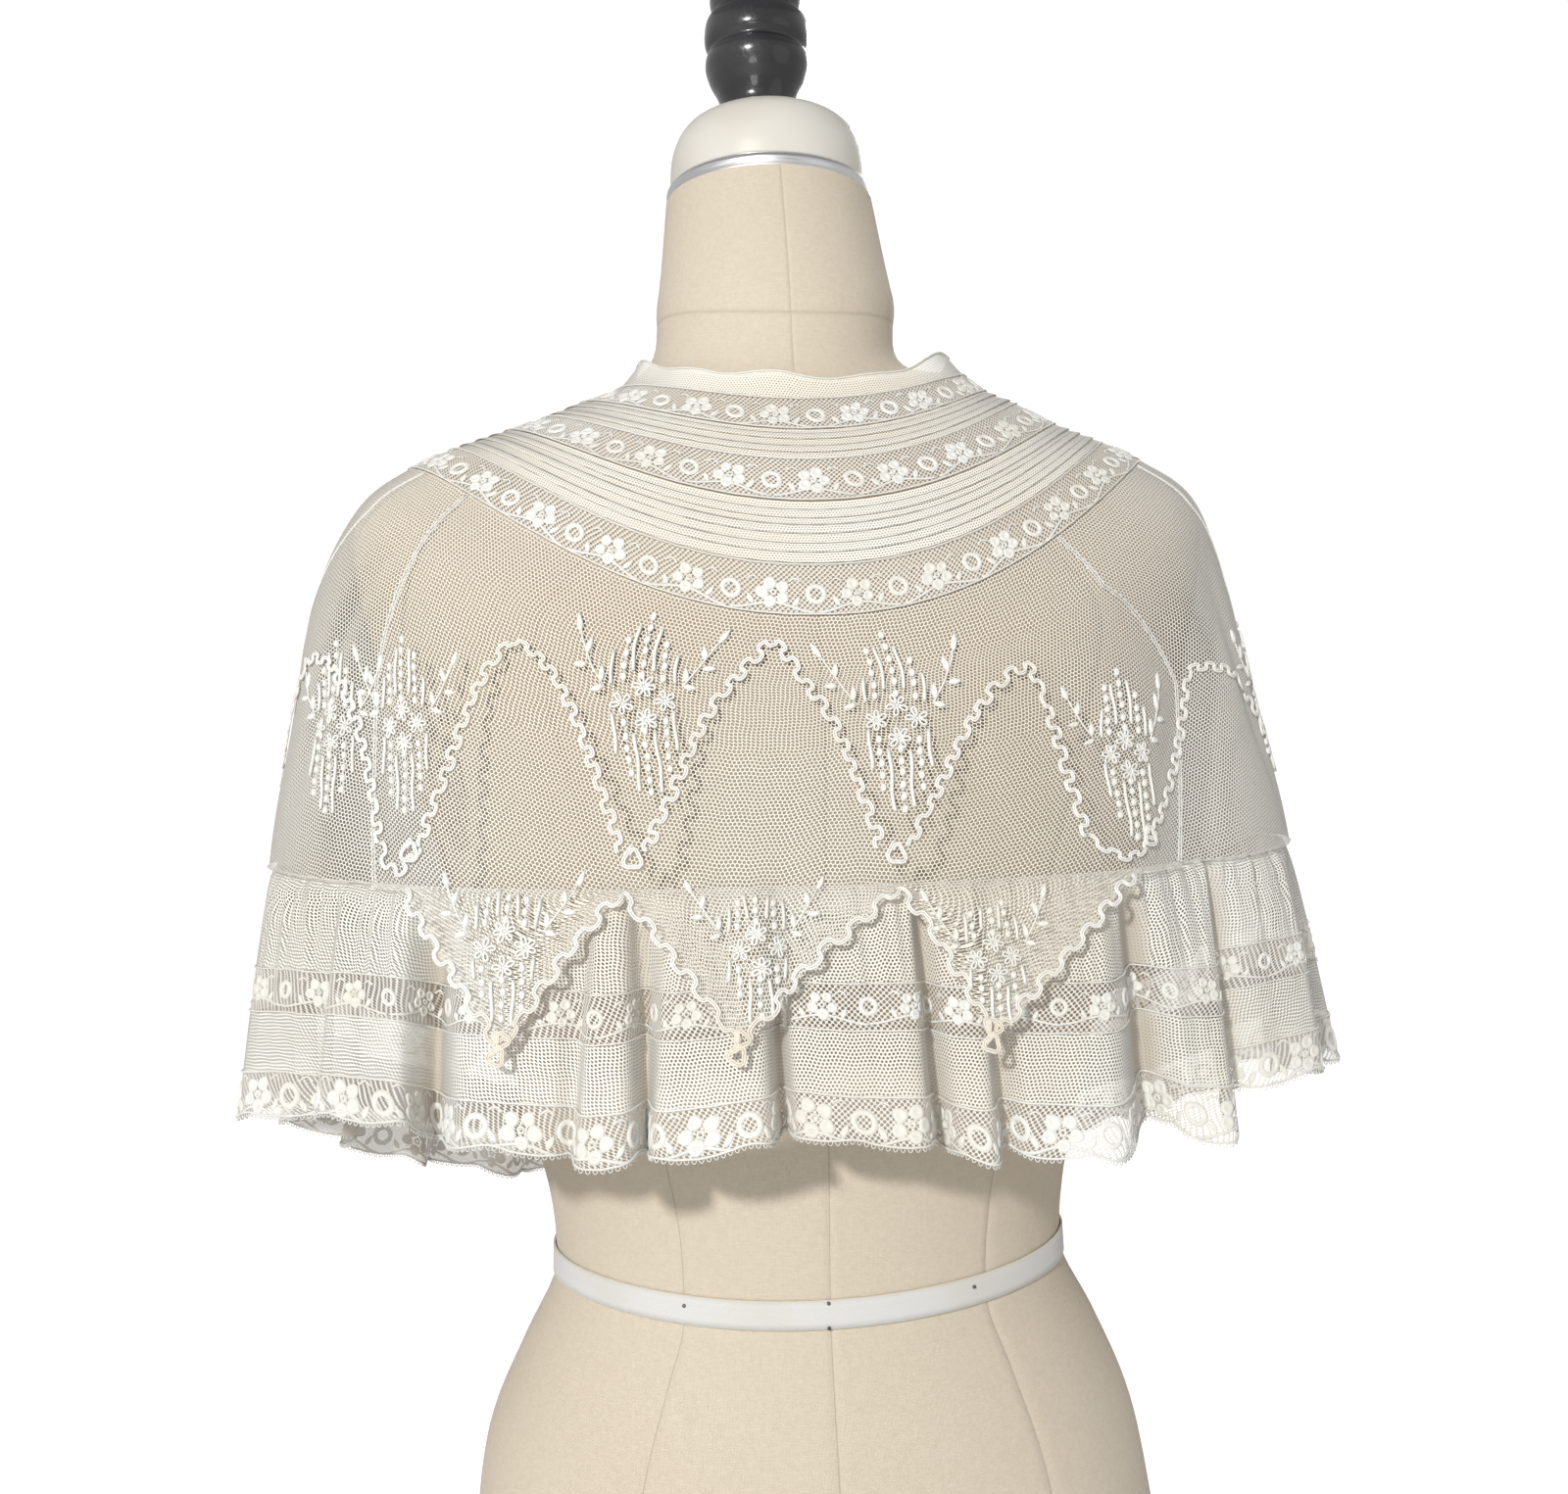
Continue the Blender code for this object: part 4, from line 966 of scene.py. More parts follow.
def ring_uv(rows, down, from_middle=False):
    """UV in metres for the quads of closed rows: along each row, and a given depth down."""
    along = travelled(np.concatenate([rows, rows[:, :1]], axis=1), 1)
    if from_middle:
        along = along - along[:, [along.shape[1] // 2]]
    uv = np.stack([along, np.broadcast_to(down[:, None], along.shape)], -1)
    return uv.reshape(-1, 2)[grid_faces(len(rows), along.shape[1])]


# %% Form cover
cover_degrees, on_seam = [], []
for first, last in zip(COVER_SEAMS, COVER_SEAMS[1:]):
    inner = np.linspace(first + SEAM_HALF_WIDTH, last - SEAM_HALF_WIDTH, PANEL_STEPS)
    cover_degrees += [first, *inner]
    on_seam += [1.0] + [0.0] * PANEL_STEPS
cover_angles = np.radians(cover_degrees)
on_seam = np.array(on_seam)

cover_rows = [form_ring(row, cover_angles) for row in FORM_RINGS]
armhole = np.broadcast_to(np.array(ARMHOLE_RING), (len(cover_angles), len(ARMHOLE_RING)))
cover_rows.append(place_on_ring(armhole, cover_angles))
for ring in np.arange(SHOULDER, 0.99, -0.25):
    ease = SHOULDER_EASE * max(0.0, ring - BAND_3_FOOT)
    cover_rows.append(cloth_point(ring, cover_angles, -FORM_CLEARANCE - ease))
neck_start = len(cover_rows)
cover_rows += [neck_ring(row, cover_angles) for row in NECK_RINGS]
for flare, row in zip(NECK_FLARES, cover_rows[neck_start:]):
    row[:, 0] *= flare
cover_points, cover_origins = smooth_rows(cover_rows, COVER_STEP)

seam_strength = np.tile(on_seam, (len(cover_points), 1))
above_yoke = cover_points[..., 2] > SIDE_SEAMS_END
sides = ~np.isin(cover_degrees, (0.0, -180.0))
seam_strength[above_yoke & sides[None]] = 0.0
neck_seam_row = int(np.argmin(np.abs(cover_origins - (neck_start + NECK_SEAM_SHARE))))
seam_strength[neck_seam_row] = NECK_SEAM_STRENGTH
centre = cover_points.mean(1, keepdims=True)
inward = unit((centre - cover_points) * np.array([1.0, 1.0, 0.0]))
cover_points = cover_points + inward * (seam_strength * SEAM_DEPTH)[..., None]

cover = cover_points[::-1]
cover_uv = ring_uv(cover, travelled(cover, 0).mean(1), from_middle=True)
form_cover = new_piece("form_cover", cover, grid_faces(len(cover), cover.shape[1], closed=True),
                       linen, "linen", cover_uv, {"seam": seam_strength[::-1]})
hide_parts("form_torso")

# %% [markdown]
# A flat board closes the form's underside. It is one flat face, so it is the outline of the
# cover's lowest row filled in.

# %% Form base
base_row = cover[-1]
new_piece("form_base", base_row, [list(range(len(base_row)))], cream_cap, "linen",
          base_row[:, :2])

# %% [markdown]
# A twill tape marks the waist, held by pins. The tape is a thin band with a little thickness,
# and its herringbone is drawn by the material from the band's own coordinates.

# %% Waist tape
WAIST_FOOT, WAIST_TOP = FORM_RINGS[5:7]
TAPE_OUT = 1.4 * MM
TAPE_EDGE = 0.5 * MM

tape_top, tape_foot = [form_ring(row, cover_angles, TAPE_OUT) for row in (WAIST_TOP, WAIST_FOOT)]
tape_in_top, tape_in_foot = [form_ring(row, cover_angles, TAPE_EDGE)
                             for row in (WAIST_TOP, WAIST_FOOT)]
shares = np.linspace(0, 1, 5)[:, None, None]
tape_rows = np.concatenate([[tape_in_top], tape_top + (tape_foot - tape_top) * shares,
                            [tape_in_foot], [tape_in_top]])
tape_down = np.array([0.0, 0.0, 3.0, 6.0, 9.0, 12.0, 12.0, 0.0]) * MM
waist_tape = new_piece("waist_tape", tape_rows,
                       grid_faces(len(tape_rows), len(cover_angles), closed=True),
                       twill_tape, "cotton_tape", ring_uv(tape_rows, tape_down))
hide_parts("form_waist_tape")

# %% Pins
# Degrees from centre back, and how far down the tape
PINS = ((31.0, 0.35), (0.5, 0.1), (0.5, 0.95), (-31.0, 0.35))
PIN_RADIUS, PIN_HEIGHT = 0.8 * MM, 0.9 * MM
pin_points, pin_faces = [], []
dome = flat_pad(round_outline(0, 0, PIN_RADIUS, 10), PIN_HEIGHT)
for degrees, share in PINS:
    angle = np.radians([degrees - 1, degrees, degrees + 1])
    top, foot = [form_ring(row, angle, TAPE_OUT) for row in (WAIST_TOP, WAIST_FOOT)]
    spot = top[1] + (foot[1] - top[1]) * share
    along, drop = unit(top[2] - top[0]), unit(foot[1] - top[1])
    frame_of_pin = np.stack([along, drop, np.cross(along, drop)])
    pin_faces += [[len(pin_points) * len(dome[0]) + i for i in face] for face in dome[1]]
    pin_points.append(spot + dome[0] @ frame_of_pin)
new_piece("waist_pins", np.concatenate(pin_points), pin_faces, pin_steel, "aluminium")

# %% [markdown]
# The neck ends in an aluminium rim, a cream cap and a turned finial in black lacquer. Turned
# pieces are a short profile spun round an axis. The profile's points are joined by a smooth
# curve, so the few sizes that a turner would measure are enough.

# %% Turned pieces
RIM_PROFILE = ((0.0500, 0.0003), (0.0505, 0.0010), (0.0505, 0.0060), (0.0495, 0.0067))
CAP_PROFILE = ((0.0490, 0.0070), (0.0490, 0.0150), (0.0475, 0.0250), (0.0420, 0.0355),
               (0.0310, 0.0420), (0.0200, 0.0440))
FINIAL_PROFILE = ((0.0190, 0.0443), (0.0186, 0.0500), (0.0205, 0.0560), (0.0245, 0.0640),
                  (0.0262, 0.0710), (0.0252, 0.0760), (0.0238, 0.0780), (0.0256, 0.0808),
                  (0.0262, 0.0880), (0.0245, 0.0945), (0.0218, 0.0972), (0.0225, 0.1000),
                  (0.0232, 0.1050), (0.0200, 0.1115), (0.0120, 0.1165), (0.0050, 0.1180))
FINIAL_SHIFT = 4.0 * MM
TURNED_STEPS = 96


def turned_piece(name, profile, material, slot, shift=0.0, step=1.0 * MM):
    """Spins a profile of radius and height above the neck's top round the neck's axis."""
    profile = np.array(profile)[::-1]
    rows, _ = smooth_rows(profile[:, None, :], step)
    turn = full_turn(TURNED_STEPS)
    radius, height = rows[:, 0, 0][:, None], rows[:, 0, 1][:, None]
    points = np.stack([shift + radius * np.sin(turn), radius * np.cos(turn) - NECK_LEAN,
                       NECK_TOP + height + 0 * turn], -1)
    faces = grid_faces(len(rows), TURNED_STEPS, closed=True).tolist()
    faces.append(list(range(TURNED_STEPS)))
    faces.append(list(range((len(rows) - 1) * TURNED_STEPS, len(rows) * TURNED_STEPS))[::-1])
    return new_piece(name, points, faces, material, slot)


neck_rim = turned_piece("neck_rim", RIM_PROFILE, satin_aluminium, "aluminium")
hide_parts("form_neck_rim")
neck_cap = turned_piece("neck_cap", CAP_PROFILE, cream_cap, "cream_plastic")
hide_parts("form_cap")
finial = turned_piece("finial", FINIAL_PROFILE, black_lacquer, "black_lacquer", FINIAL_SHIFT)
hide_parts("form_finial")

# %% [markdown]
# The yoke is made of straight strips eased round the neck: a plain band, then lace and tucked
# net by turns. Each strip is its own sheet. A tuck is a fold sewn down flat, so the net's row
# of points runs down to the fold, back up under it and down again, three layers deep.

# %% Yoke strips
YOKE_DEGREES = np.linspace(-FRONT_EDGE, FRONT_EDGE, 357)
CLOTH_LIFT = 0.9 * MM
LAYER = 0.22 * MM
TUCKS = {"tuck_strip_1": (0.38, 0.84), "tuck_strip_2": (0.30, 0.54, 0.82)}
TUCK_WIDTH = {"tuck_strip_1": 0.24, "tuck_strip_2": 0.15}
# Rows of one tuck: share of its width above the fold, a shift in rings, and layers of lift
TUCK_ROWS = ((1.0, 0.0, 0.0), (0.5, 0.0, 2.2), (0.0, -0.02, 2.8), (0.0, 0.0, 2.2),
             (0.0, -0.02, 1.3), (1.0, 0.0, 1 / 3), (1.0, 0.02, -1.0), (0.0, 0.03, -1.0))
STRIP_GAP = 0.02
LOOSE_NECK = 1.7 * MM
# Waves of the loose neck edge: how many round the neck, phase, and share of its height
NECK_WAVES = ((5, 0.8, 1.0), (11, 0.0, 0.6))


def yoke_sheet(rows):
    """A sheet from rows of (ring position, lift) round the whole yoke."""
    angles = np.radians(YOKE_DEGREES)
    return Sheet(np.stack([cloth_point(ring, angles, lift + 0 * angles) for ring, lift in rows]))


def tucked_rows(name, first):
    """Rows of a tucked strip: down each tuck, back up under it and down again."""
    rows = [(first + STRIP_GAP, CLOTH_LIFT)]
    for edge in TUCKS[name]:
        rows += [(first + edge - TUCK_WIDTH[name] * share + shift, CLOTH_LIFT + LAYER * layers)
                 for share, shift, layers in TUCK_ROWS]
    return rows + [(first + 1 - STRIP_GAP, CLOTH_LIFT)]


def plain_rows(first, steps=6):
    return [(first + share, CLOTH_LIFT)
            for share in np.linspace(STRIP_GAP, 1 - STRIP_GAP, steps)]


yoke = {
    "neck_band": yoke_sheet(plain_rows(0)),
    "lace_band_1": yoke_sheet(plain_rows(1)),
    "tuck_strip_1": yoke_sheet(tucked_rows("tuck_strip_1", 2)),
    "lace_band_2": yoke_sheet(plain_rows(3)),
    "tuck_strip_2": yoke_sheet(tucked_rows("tuck_strip_2", 4)),
    "lace_band_3": yoke_sheet(plain_rows(5)),
}
band = yoke["neck_band"].points
band_turn = np.radians(YOKE_DEGREES)
ease = LOOSE_NECK * sum(share * np.sin(count * band_turn + phase)
                        for count, phase, share in NECK_WAVES)
band[..., 2] += ease * np.linspace(1, 0, len(band))[:, None]
yoke["neck_band"] = Sheet(band)
for name, sheet in yoke.items():
    lace = name.startswith("lace")
    piece = sheet_piece(name + "_cloth", sheet, yoke_ground if lace else tucked_net,
                        "cotton_lace" if lace else "cotton_net")
    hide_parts(name)

# %% [markdown]
# Below the yoke hang the net panels. The back one and the fronts run on past the ruffle's
# seam as pointed flaps. All of them are one surface, so one grid of the whole body serves as
# the ground that embroidery and braid are pressed onto, and each panel follows that surface.

# %% Body surface
FOLD_HEIGHT = 15.0 * MM
FOLD_GROWTH = 0.55
FLAP_STANDOFF = 3.0 * MM
BACK_JUNCTIONS = (-27.8, -3.9, 17.2, 41.4)
BACK_TIPS = (-10.2, 7.2, 27.8)
JUNCTION_DROP = 0.03
GORE_DROP = 0.004
TIP_DROP = 0.56
FRONT_FLAPS = 3
# Soft creases: ring position and degrees of the middle, half length in rings, half width in
# degrees, degrees of lean a ring, and height in mm, below zero for a trough
CREASES = (
    (10.25, 3.3, 0.30, 0.9, 0.0, -3.2),
    (10.22, 5.6, 0.34, 0.9, 0.5, 2.2),
    (10.28, 8.3, 0.30, 0.8, 1.0, -2.4),
    (10.30, 25.0, 0.30, 1.3, 0.0, -1.2),
    (10.20, -13.5, 0.30, 1.4, -1.0, -1.3),
    (8.9, 29.5, 1.1, 1.8, -1.0, -1.0),
    (9.2, 8.6, 1.0, 1.6, 1.2, -0.9),
    (8.8, -13.0, 1.2, 2.0, -1.6, -1.1),
    (8.2, -26.0, 0.9, 2.2, -4.0, -1.3),
    (8.4, 63.0, 1.1, 2.6, 5.0, -2.0),
    (8.9, -66.0, 1.0, 3.0, -4.0, -2.4),
    (9.0, 104.0, 1.1, 3.0, 2.0, -2.2),
    (9.0, -108.0, 1.2, 3.2, -2.0, -2.0),
    (8.8, 138.0, 1.0, 2.6, 1.0, -1.6),
    (8.9, -142.0, 1.1, 2.4, -1.5, -1.8),
    (9.2, 163.0, 0.9, 2.0, 0.5, -1.2),
    (9.1, -160.0, 1.0, 2.2, -0.5, -1.4),
)


def crease_height(ring, degrees):
    height = np.zeros(np.broadcast(ring, degrees).shape)
    for middle, place, length, width, lean, rise in CREASES:
        along = (ring - middle) / length
        away = (degrees - place - lean * (ring - middle)) / width
        height = height + rise * MM * np.exp(-along ** 2 - away ** 2)
    return height


def body_point(ring, degrees, lift=0.0):
    """The body's net at a ring position and angle; past the ruffle's seam it hangs as flaps."""
    hanging = np.clip(np.asarray(ring) - RUFFLE_SEAM, 0.0, 1.0)
    fold = (FOLD_HEIGHT + FLAP_STANDOFF) * hanging ** FOLD_GROWTH
    fold = fold + crease_height(ring, degrees)
    return cloth_point(ring, np.radians(degrees), np.asarray(lift) + CLOTH_LIFT, fold)


# %% Grid of the body
BODY_RING_STEP = 0.05
BODY_DEGREE_STEP = 0.5
body_rings = np.arange(BAND_3_FOOT, RUFFLE_SEAM + 0.7, BODY_RING_STEP)
body_degrees = np.arange(-FRONT_EDGE, FRONT_EDGE + 0.1, BODY_DEGREE_STEP)
body_grid = np.meshgrid(body_rings, body_degrees, indexing="ij")
body_sheet = Sheet(body_point(*body_grid))


def body_place(ring, degrees):
    """Row and column of the body's grid at a ring position and angle."""
    return (ring - BAND_3_FOOT) / BODY_RING_STEP, (degrees + FRONT_EDGE) / BODY_DEGREE_STEP


print("the body's grid has", body_sheet.rows, "rows of", body_sheet.columns)

# %% Flaps


def even_angles(ring, start, end, parts):
    """Angles that divide a stretch of ring into equal lengths."""
    fine = np.linspace(start, end, 400)
    lengths = line_travelled(plain_point(np.full(fine.shape, float(ring)), np.radians(fine)))
    return np.interp(np.linspace(0, lengths[-1], parts + 1), lengths, fine)


def front_junctions(side):
    """Where the front flaps meet, in rising order."""
    start = seam_angle("shoulder_left" if side > 0 else "shoulder_right", RUFFLE_SEAM)
    return sorted(even_angles(RUFFLE_SEAM, start, side * FRONT_EDGE, FRONT_FLAPS))


def middles(values):
    return [(a + b) / 2 for a, b in zip(values, values[1:])]


FLAPS = {
    "front_right": (front_junctions(-1), middles(front_junctions(-1))),
    "back_panel": (BACK_JUNCTIONS, BACK_TIPS),
    "front_left": (front_junctions(1), middles(front_junctions(1))),
}
print("front flaps meet at", [round(float(a), 1) for a in front_junctions(1)])

# %% [markdown]
# Five panels make the body: a back, a gore over each arm and two fronts. Cutting them from the
# body's grid would leave steps, so each has a grid of its own, stretched between its seams.

# %% Net panels
PANEL_SEAMS = {
    "front_right": (None, "shoulder_right"),
    "side_gore_right": ("shoulder_right", "back_right"),
    "back_panel": ("back_right", "back_left"),
    "side_gore_left": ("back_left", "shoulder_left"),
    "front_left": ("shoulder_left", None),
}
PANEL_ROWS = 44
FLAP_ROWS = 16
COLUMN_DEGREES = 1.0
SEAM_TRIM = 0.06


def flap_drop(name, degrees):
    """How far below the ruffle's seam each column hangs, as a share of the ruffle."""
    if name not in FLAPS:
        return np.full(len(degrees), GORE_DROP)
    junctions, tips = FLAPS[name]
    places = sorted([(place, JUNCTION_DROP) for place in junctions]
                    + [(place, TIP_DROP) for place in tips])
    return np.interp(degrees, [place[0] for place in places], [place[1] for place in places])


def panel_sheet(name):
    first, last = PANEL_SEAMS[name]
    low = [seam_angle(seam, RUFFLE_SEAM) if seam else None for seam in (first, last)]
    start = -FRONT_EDGE if first is None else low[0] + SEAM_TRIM
    end = FRONT_EDGE if last is None else low[1] - SEAM_TRIM
    corners = [start, end]
    if name in FLAPS:
        corners += [place for place in (*FLAPS[name][0], *FLAPS[name][1]) if start < place < end]
    corners = sorted(corners)
    stations = [start]
    for a, b in zip(corners, corners[1:]):
        stations += list(np.linspace(a, b, max(2, math.ceil((b - a) / COLUMN_DEGREES)) + 1)[1:])
    stations = np.array(stations)
    share = (stations - start) / (end - start)
    rows = []
    for ring in np.linspace(BAND_3_FOOT + 0.01, RUFFLE_SEAM, PANEL_ROWS):
        left = -FRONT_EDGE if first is None else seam_angle(first, ring) + SEAM_TRIM
        right = FRONT_EDGE if last is None else seam_angle(last, ring) - SEAM_TRIM
        rows.append(body_point(ring, left + (right - left) * share))
    drop = flap_drop(name, stations)
    count = FLAP_ROWS if name in FLAPS else 2
    for part in np.linspace(0, 1, count + 1)[1:]:
        rows.append(body_point(RUFFLE_SEAM + drop * part, stations))
    return Sheet(np.stack(rows))


panels = {name: panel_sheet(name) for name in PANEL_SEAMS}
for name, sheet in panels.items():
    sheet_piece(name + "_net", sheet, fine_net, "cotton_net")
    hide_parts(name)

# %% [markdown]
# The ruffle is gathered: a strip much longer than its seam, that falls in folds. Each fold
# is a row of a table with its angle at the seam and at the hem, its height and the rise of
# the hem. Where the hem's angle runs backwards the cloth folds under itself. Fine gathers
# ripple below the seam and die away, and a curve eased between the rows keeps folds soft.

# %% Ruffle surface
RUFFLE_SET_BACK = 2.2 * MM
RUFFLE_DEPTH = 100.0 * MM
FOLDS = (
    # degrees at the seam, degrees at the hem, height from -1 in a valley to 1, rise of the hem
    (-60.0, -54.0, 1.0, 11.0),
    (-48.0, -46.0, 0.2, 8.0),
    (-43.5, -42.5, -1.0, 3.0),
    (-41.5, -35.8, 1.0, -7.0),
    (-33.5, -31.5, 0.5, -4.0),
    (-28.5, -30.6, -1.2, 3.0),
    (-24.5, -21.3, 1.0, -6.0),
    (-13.9, -14.2, 0.3, -3.0),
    (-12.0, -12.4, -0.8, -1.6),
    (-10.0, -10.0, 0.85, -3.3),
    (-7.2, -7.6, 0.4, -1.0),
    (-5.6, -6.9, -1.0, 2.0),
    (-4.7, -4.6, 0.9, 6.0),
    (0.0, -0.6, 0.7, 7.0),
    (3.5, 3.2, 0.45, 11.0),
    (4.4, 3.9, -1.0, 9.0),
    (5.4, 5.3, 1.0, 10.0),
    (8.9, 10.0, 0.8, 6.0),
    (12.3, 14.5, 0.85, 3.8),
    (15.4, 15.4, -0.9, 5.6),
    (17.1, 16.2, 1.0, 4.3),
    (19.3, 20.7, 1.0, 2.0),
    (20.6, 22.0, 0.1, 4.3),
    (23.5, 23.4, 0.55, 6.0),
    (33.4, 31.9, 0.7, 8.0),
    (38.0, 40.2, -1.1, 4.0),
    (42.0, 37.8, 1.0, 16.0),
    (52.8, 50.7, 1.0, 15.3),
    (54.5, 54.0, -0.3, 8.0),
    (62.0, 60.0, 0.5, 10.0),
    (73.0, 70.0, 1.0, 4.0),
)
HIDDEN_FOLDS, HIDDEN_UNEVENNESS, HIDDEN_UNEVEN_PACE = 7, 0.18, 2.3
RUFFLE_COLUMN = 1.5 * MM
FEWEST_COLUMNS = 8
FOLD_SOFTNESS = 2.0
# Gathers: wave length in mm, height in mm just below the seam, and phase
GATHERS = ((5.3, 0.7, 0.4), (7.9, 0.9, 2.1), (12.7, 1.1, 4.0))
GATHER_TOP, GATHER_REACH = 0.02, 0.28


# %% Columns and rows of the ruffle


def hidden_folds(side):
    """Even folds from the last one that shows round to one front edge."""
    start = FOLDS[-1] if side > 0 else FOLDS[0]
    seam = even_angles(RUFFLE_SEAM, start[0], side * FRONT_EDGE, 2 * HIDDEN_FOLDS)
    hem = even_angles(HEM, start[1], side * FRONT_EDGE, 2 * HIDDEN_FOLDS)
    rows = []
    for index in range(1, 2 * HIDDEN_FOLDS + 1):
        uneven = 1 + HIDDEN_UNEVENNESS * math.sin(HIDDEN_UNEVEN_PACE * index + side)
        height = uneven if index % 2 == 0 else -uneven
        last = index == 2 * HIDDEN_FOLDS
        rows.append((seam[index], hem[index], 0.0 if last else height, 0.0))
    return rows


def softened(values, softness):
    """Rounds the corners of a row of values, with both ends kept."""
    reach = int(3 * softness)
    weights = np.exp(-0.5 * (np.arange(-reach, reach + 1) / softness) ** 2)
    padded = np.concatenate([2 * values[0] - values[reach:0:-1], values,
                             2 * values[-1] - values[-2:-reach - 2:-1]])
    return np.convolve(padded, weights / weights.sum(), mode="valid")


def fold_columns():
    """Seam angle, hem angle, height and rise at each column, and its length along the seam."""
    table = np.array(hidden_folds(-1)[::-1] + list(FOLDS) + hidden_folds(1))
    columns = [table[0]]
    for start, end in zip(table, table[1:]):
        pair = plain_point(np.full(2, float(RUFFLE_SEAM)), np.radians([start[0], end[0]]))
        count = max(FEWEST_COLUMNS, round(np.linalg.norm(pair[1] - pair[0]) / RUFFLE_COLUMN))
        for part in np.arange(1, count + 1) / count:
            eased = (1 - math.cos(math.pi * part)) / 2
            columns.append(start + (end - start) * np.array([part, part, eased, part]))
    return np.array([softened(values, FOLD_SOFTNESS) for values in np.array(columns).T])


fold_values = fold_columns()
seam_places = np.full(fold_values.shape[1], float(RUFFLE_SEAM))
seam_line_length = line_travelled(plain_point(seam_places, np.radians(fold_values[0])))


def ruffle_rows(shares):
    """Rows of the ruffle at shares of its depth; a share may differ from column to column."""
    seam_degrees, hem_degrees, heights, rises = fold_values
    rows = []
    for share in shares:
        share = np.broadcast_to(share, seam_degrees.shape)
        angles = np.radians(seam_degrees + (hem_degrees - seam_degrees) * share)
        fold = FOLD_HEIGHT * heights * np.clip(share, 0, 1) ** FOLD_GROWTH
        fade = np.clip(share / GATHER_TOP, 0, 1) * np.exp(-share / GATHER_REACH)
        for length, height, phase in GATHERS:
            wave = np.sin(2 * math.pi * seam_line_length / (length * MM) + phase)
            fold = fold + height * MM * wave * fade
        points = cloth_point(RUFFLE_SEAM + np.minimum(share, 1.0), angles,
                             np.full(angles.shape, -RUFFLE_SET_BACK), fold)
        points[:, 2] += rises * share * MM - np.maximum(share - 1.0, 0) * RUFFLE_DEPTH
        rows.append(points)
    return np.stack(rows)


print("the ruffle has", fold_values.shape[1], "columns over",
      round(float(seam_line_length[-1]), 3), "m of seam")

# %% [markdown]
# The ruffle is pieced from net, a lace insertion, net again and a scalloped edging. Each takes
# its own rows of the one folded surface, so the strips fold together and meet without a step.

# %% Ruffle strips
RUFFLE_STRIPS = (
    ("ruffle_upper_net", 0.00, 0.39, 14),
    ("ruffle_insertion", 0.39, 0.545, 6),
    ("ruffle_lower_net", 0.545, 0.77, 7),
    ("ruffle_edging", 0.77, 1.00, 8),
)
SCALLOP = 36.0 * MM
SCALLOP_DEPTH = 0.035
SCALLOP_START, SCALLOP_ROUNDNESS = 0.985, 0.7
STRIP_TRIM = 0.002
VALLEY_START, VALLEY_SPAN, VALLEY_MOST, VALLEY_REACH = 0.22, 0.6, 0.75, 0.25


def hem_shares(columns_along):
    """The scalloped lower edge of the edging, as a share of the ruffle's depth."""
    turn = math.pi * columns_along / SCALLOP
    return SCALLOP_START + SCALLOP_DEPTH * np.abs(np.sin(turn)) ** SCALLOP_ROUNDNESS


def valley_shade(shares):
    """How deep in a valley between folds each point lies, from 0 to 1."""
    shares = shares[:, None] if shares.ndim == 1 else shares
    deep = np.clip((-fold_values[2] - VALLEY_START) / VALLEY_SPAN, 0.0, 1.0)
    return VALLEY_MOST * deep * np.clip(shares / VALLEY_REACH, 0.0, 1.0) ** 0.5


hem_along = travelled(ruffle_rows([1.0]), 1)[0]
ruffle = {}
for name, top, foot, steps in RUFFLE_STRIPS:
    shares = np.linspace(top + STRIP_TRIM, foot - STRIP_TRIM, steps + 1)
    if name == "ruffle_edging":
        reach = hem_shares(hem_along) - top
        shares = [top + reach * (share - top) / (foot - top) for share in shares]
    ruffle[name] = Sheet(ruffle_rows(shares))
    lace = not name.endswith("net")
    shade = valley_shade(np.array(shares))
    piece = sheet_piece(name + "_cloth", ruffle[name], ruffle_ground if lace else ruffle_net,
                        "cotton_lace" if lace else "cotton_net", {"valley": shade})
    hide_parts(name)

# %% [markdown]
# Bobbin lace has flowers and rings of close cloth stitch, outlined by a thicker gimp thread,
# on an open ground. One repeat is drawn flat: a flower of five petals, a ring, leaves and a
# winding gimp. It is pressed onto each strip as often as it fits, with chance differences.

# %% Lace flowers
LACE_REPEAT = 35.0 * MM
REPEAT_WIDTH = 20.0 * MM
PAD_HEIGHT = 0.7 * MM
FLOWER_LIFT = 0.05 * MM
LACE_PETALS = 5
# How far the petals' middles lie from their flower's, across and down, and their radius
PETALS_ACROSS, PETALS_DOWN, PETAL_RADIUS = 4.9 * MM, 4.3 * MM, 2.75 * MM
PETAL_PROFILE = ((1.0, 0.0), (0.85, 1.0), (0.5, 0.6), (0.2, 0.05))
FLOWER_RISE, RING_RISE = 0.6 * MM, 0.4 * MM
# Outer and inner radius of the flower's eye, and of the ring between two flowers
EYE_OUTER, EYE_INNER = 1.5 * MM, 0.6 * MM
RING_OUTER, RING_INNER = 4.7 * MM, 2.5 * MM
GIMP_DOWN, GIMP_SWING, GIMP_WIDTH, GIMP_HEIGHT = 5.9 * MM, 1.9 * MM, 1.5 * MM, 0.45 * MM
LACE_LEAF_BASE, LACE_LEAF_TIP = (8.6 * MM, 5.4 * MM), (11.4 * MM, 0.4 * MM)
LACE_LEAF_WIDTH = 2.4 * MM
# A curl above each side of the flower, in mm: start, length, height above the middle and bulge
CURL_START, CURL_LENGTH, CURL_UP, CURL_BULGE = 6.5, 5.0, 5.8, 1.6
CURL_WIDTH, CURL_HEIGHT = 1.0 * MM, 0.4 * MM


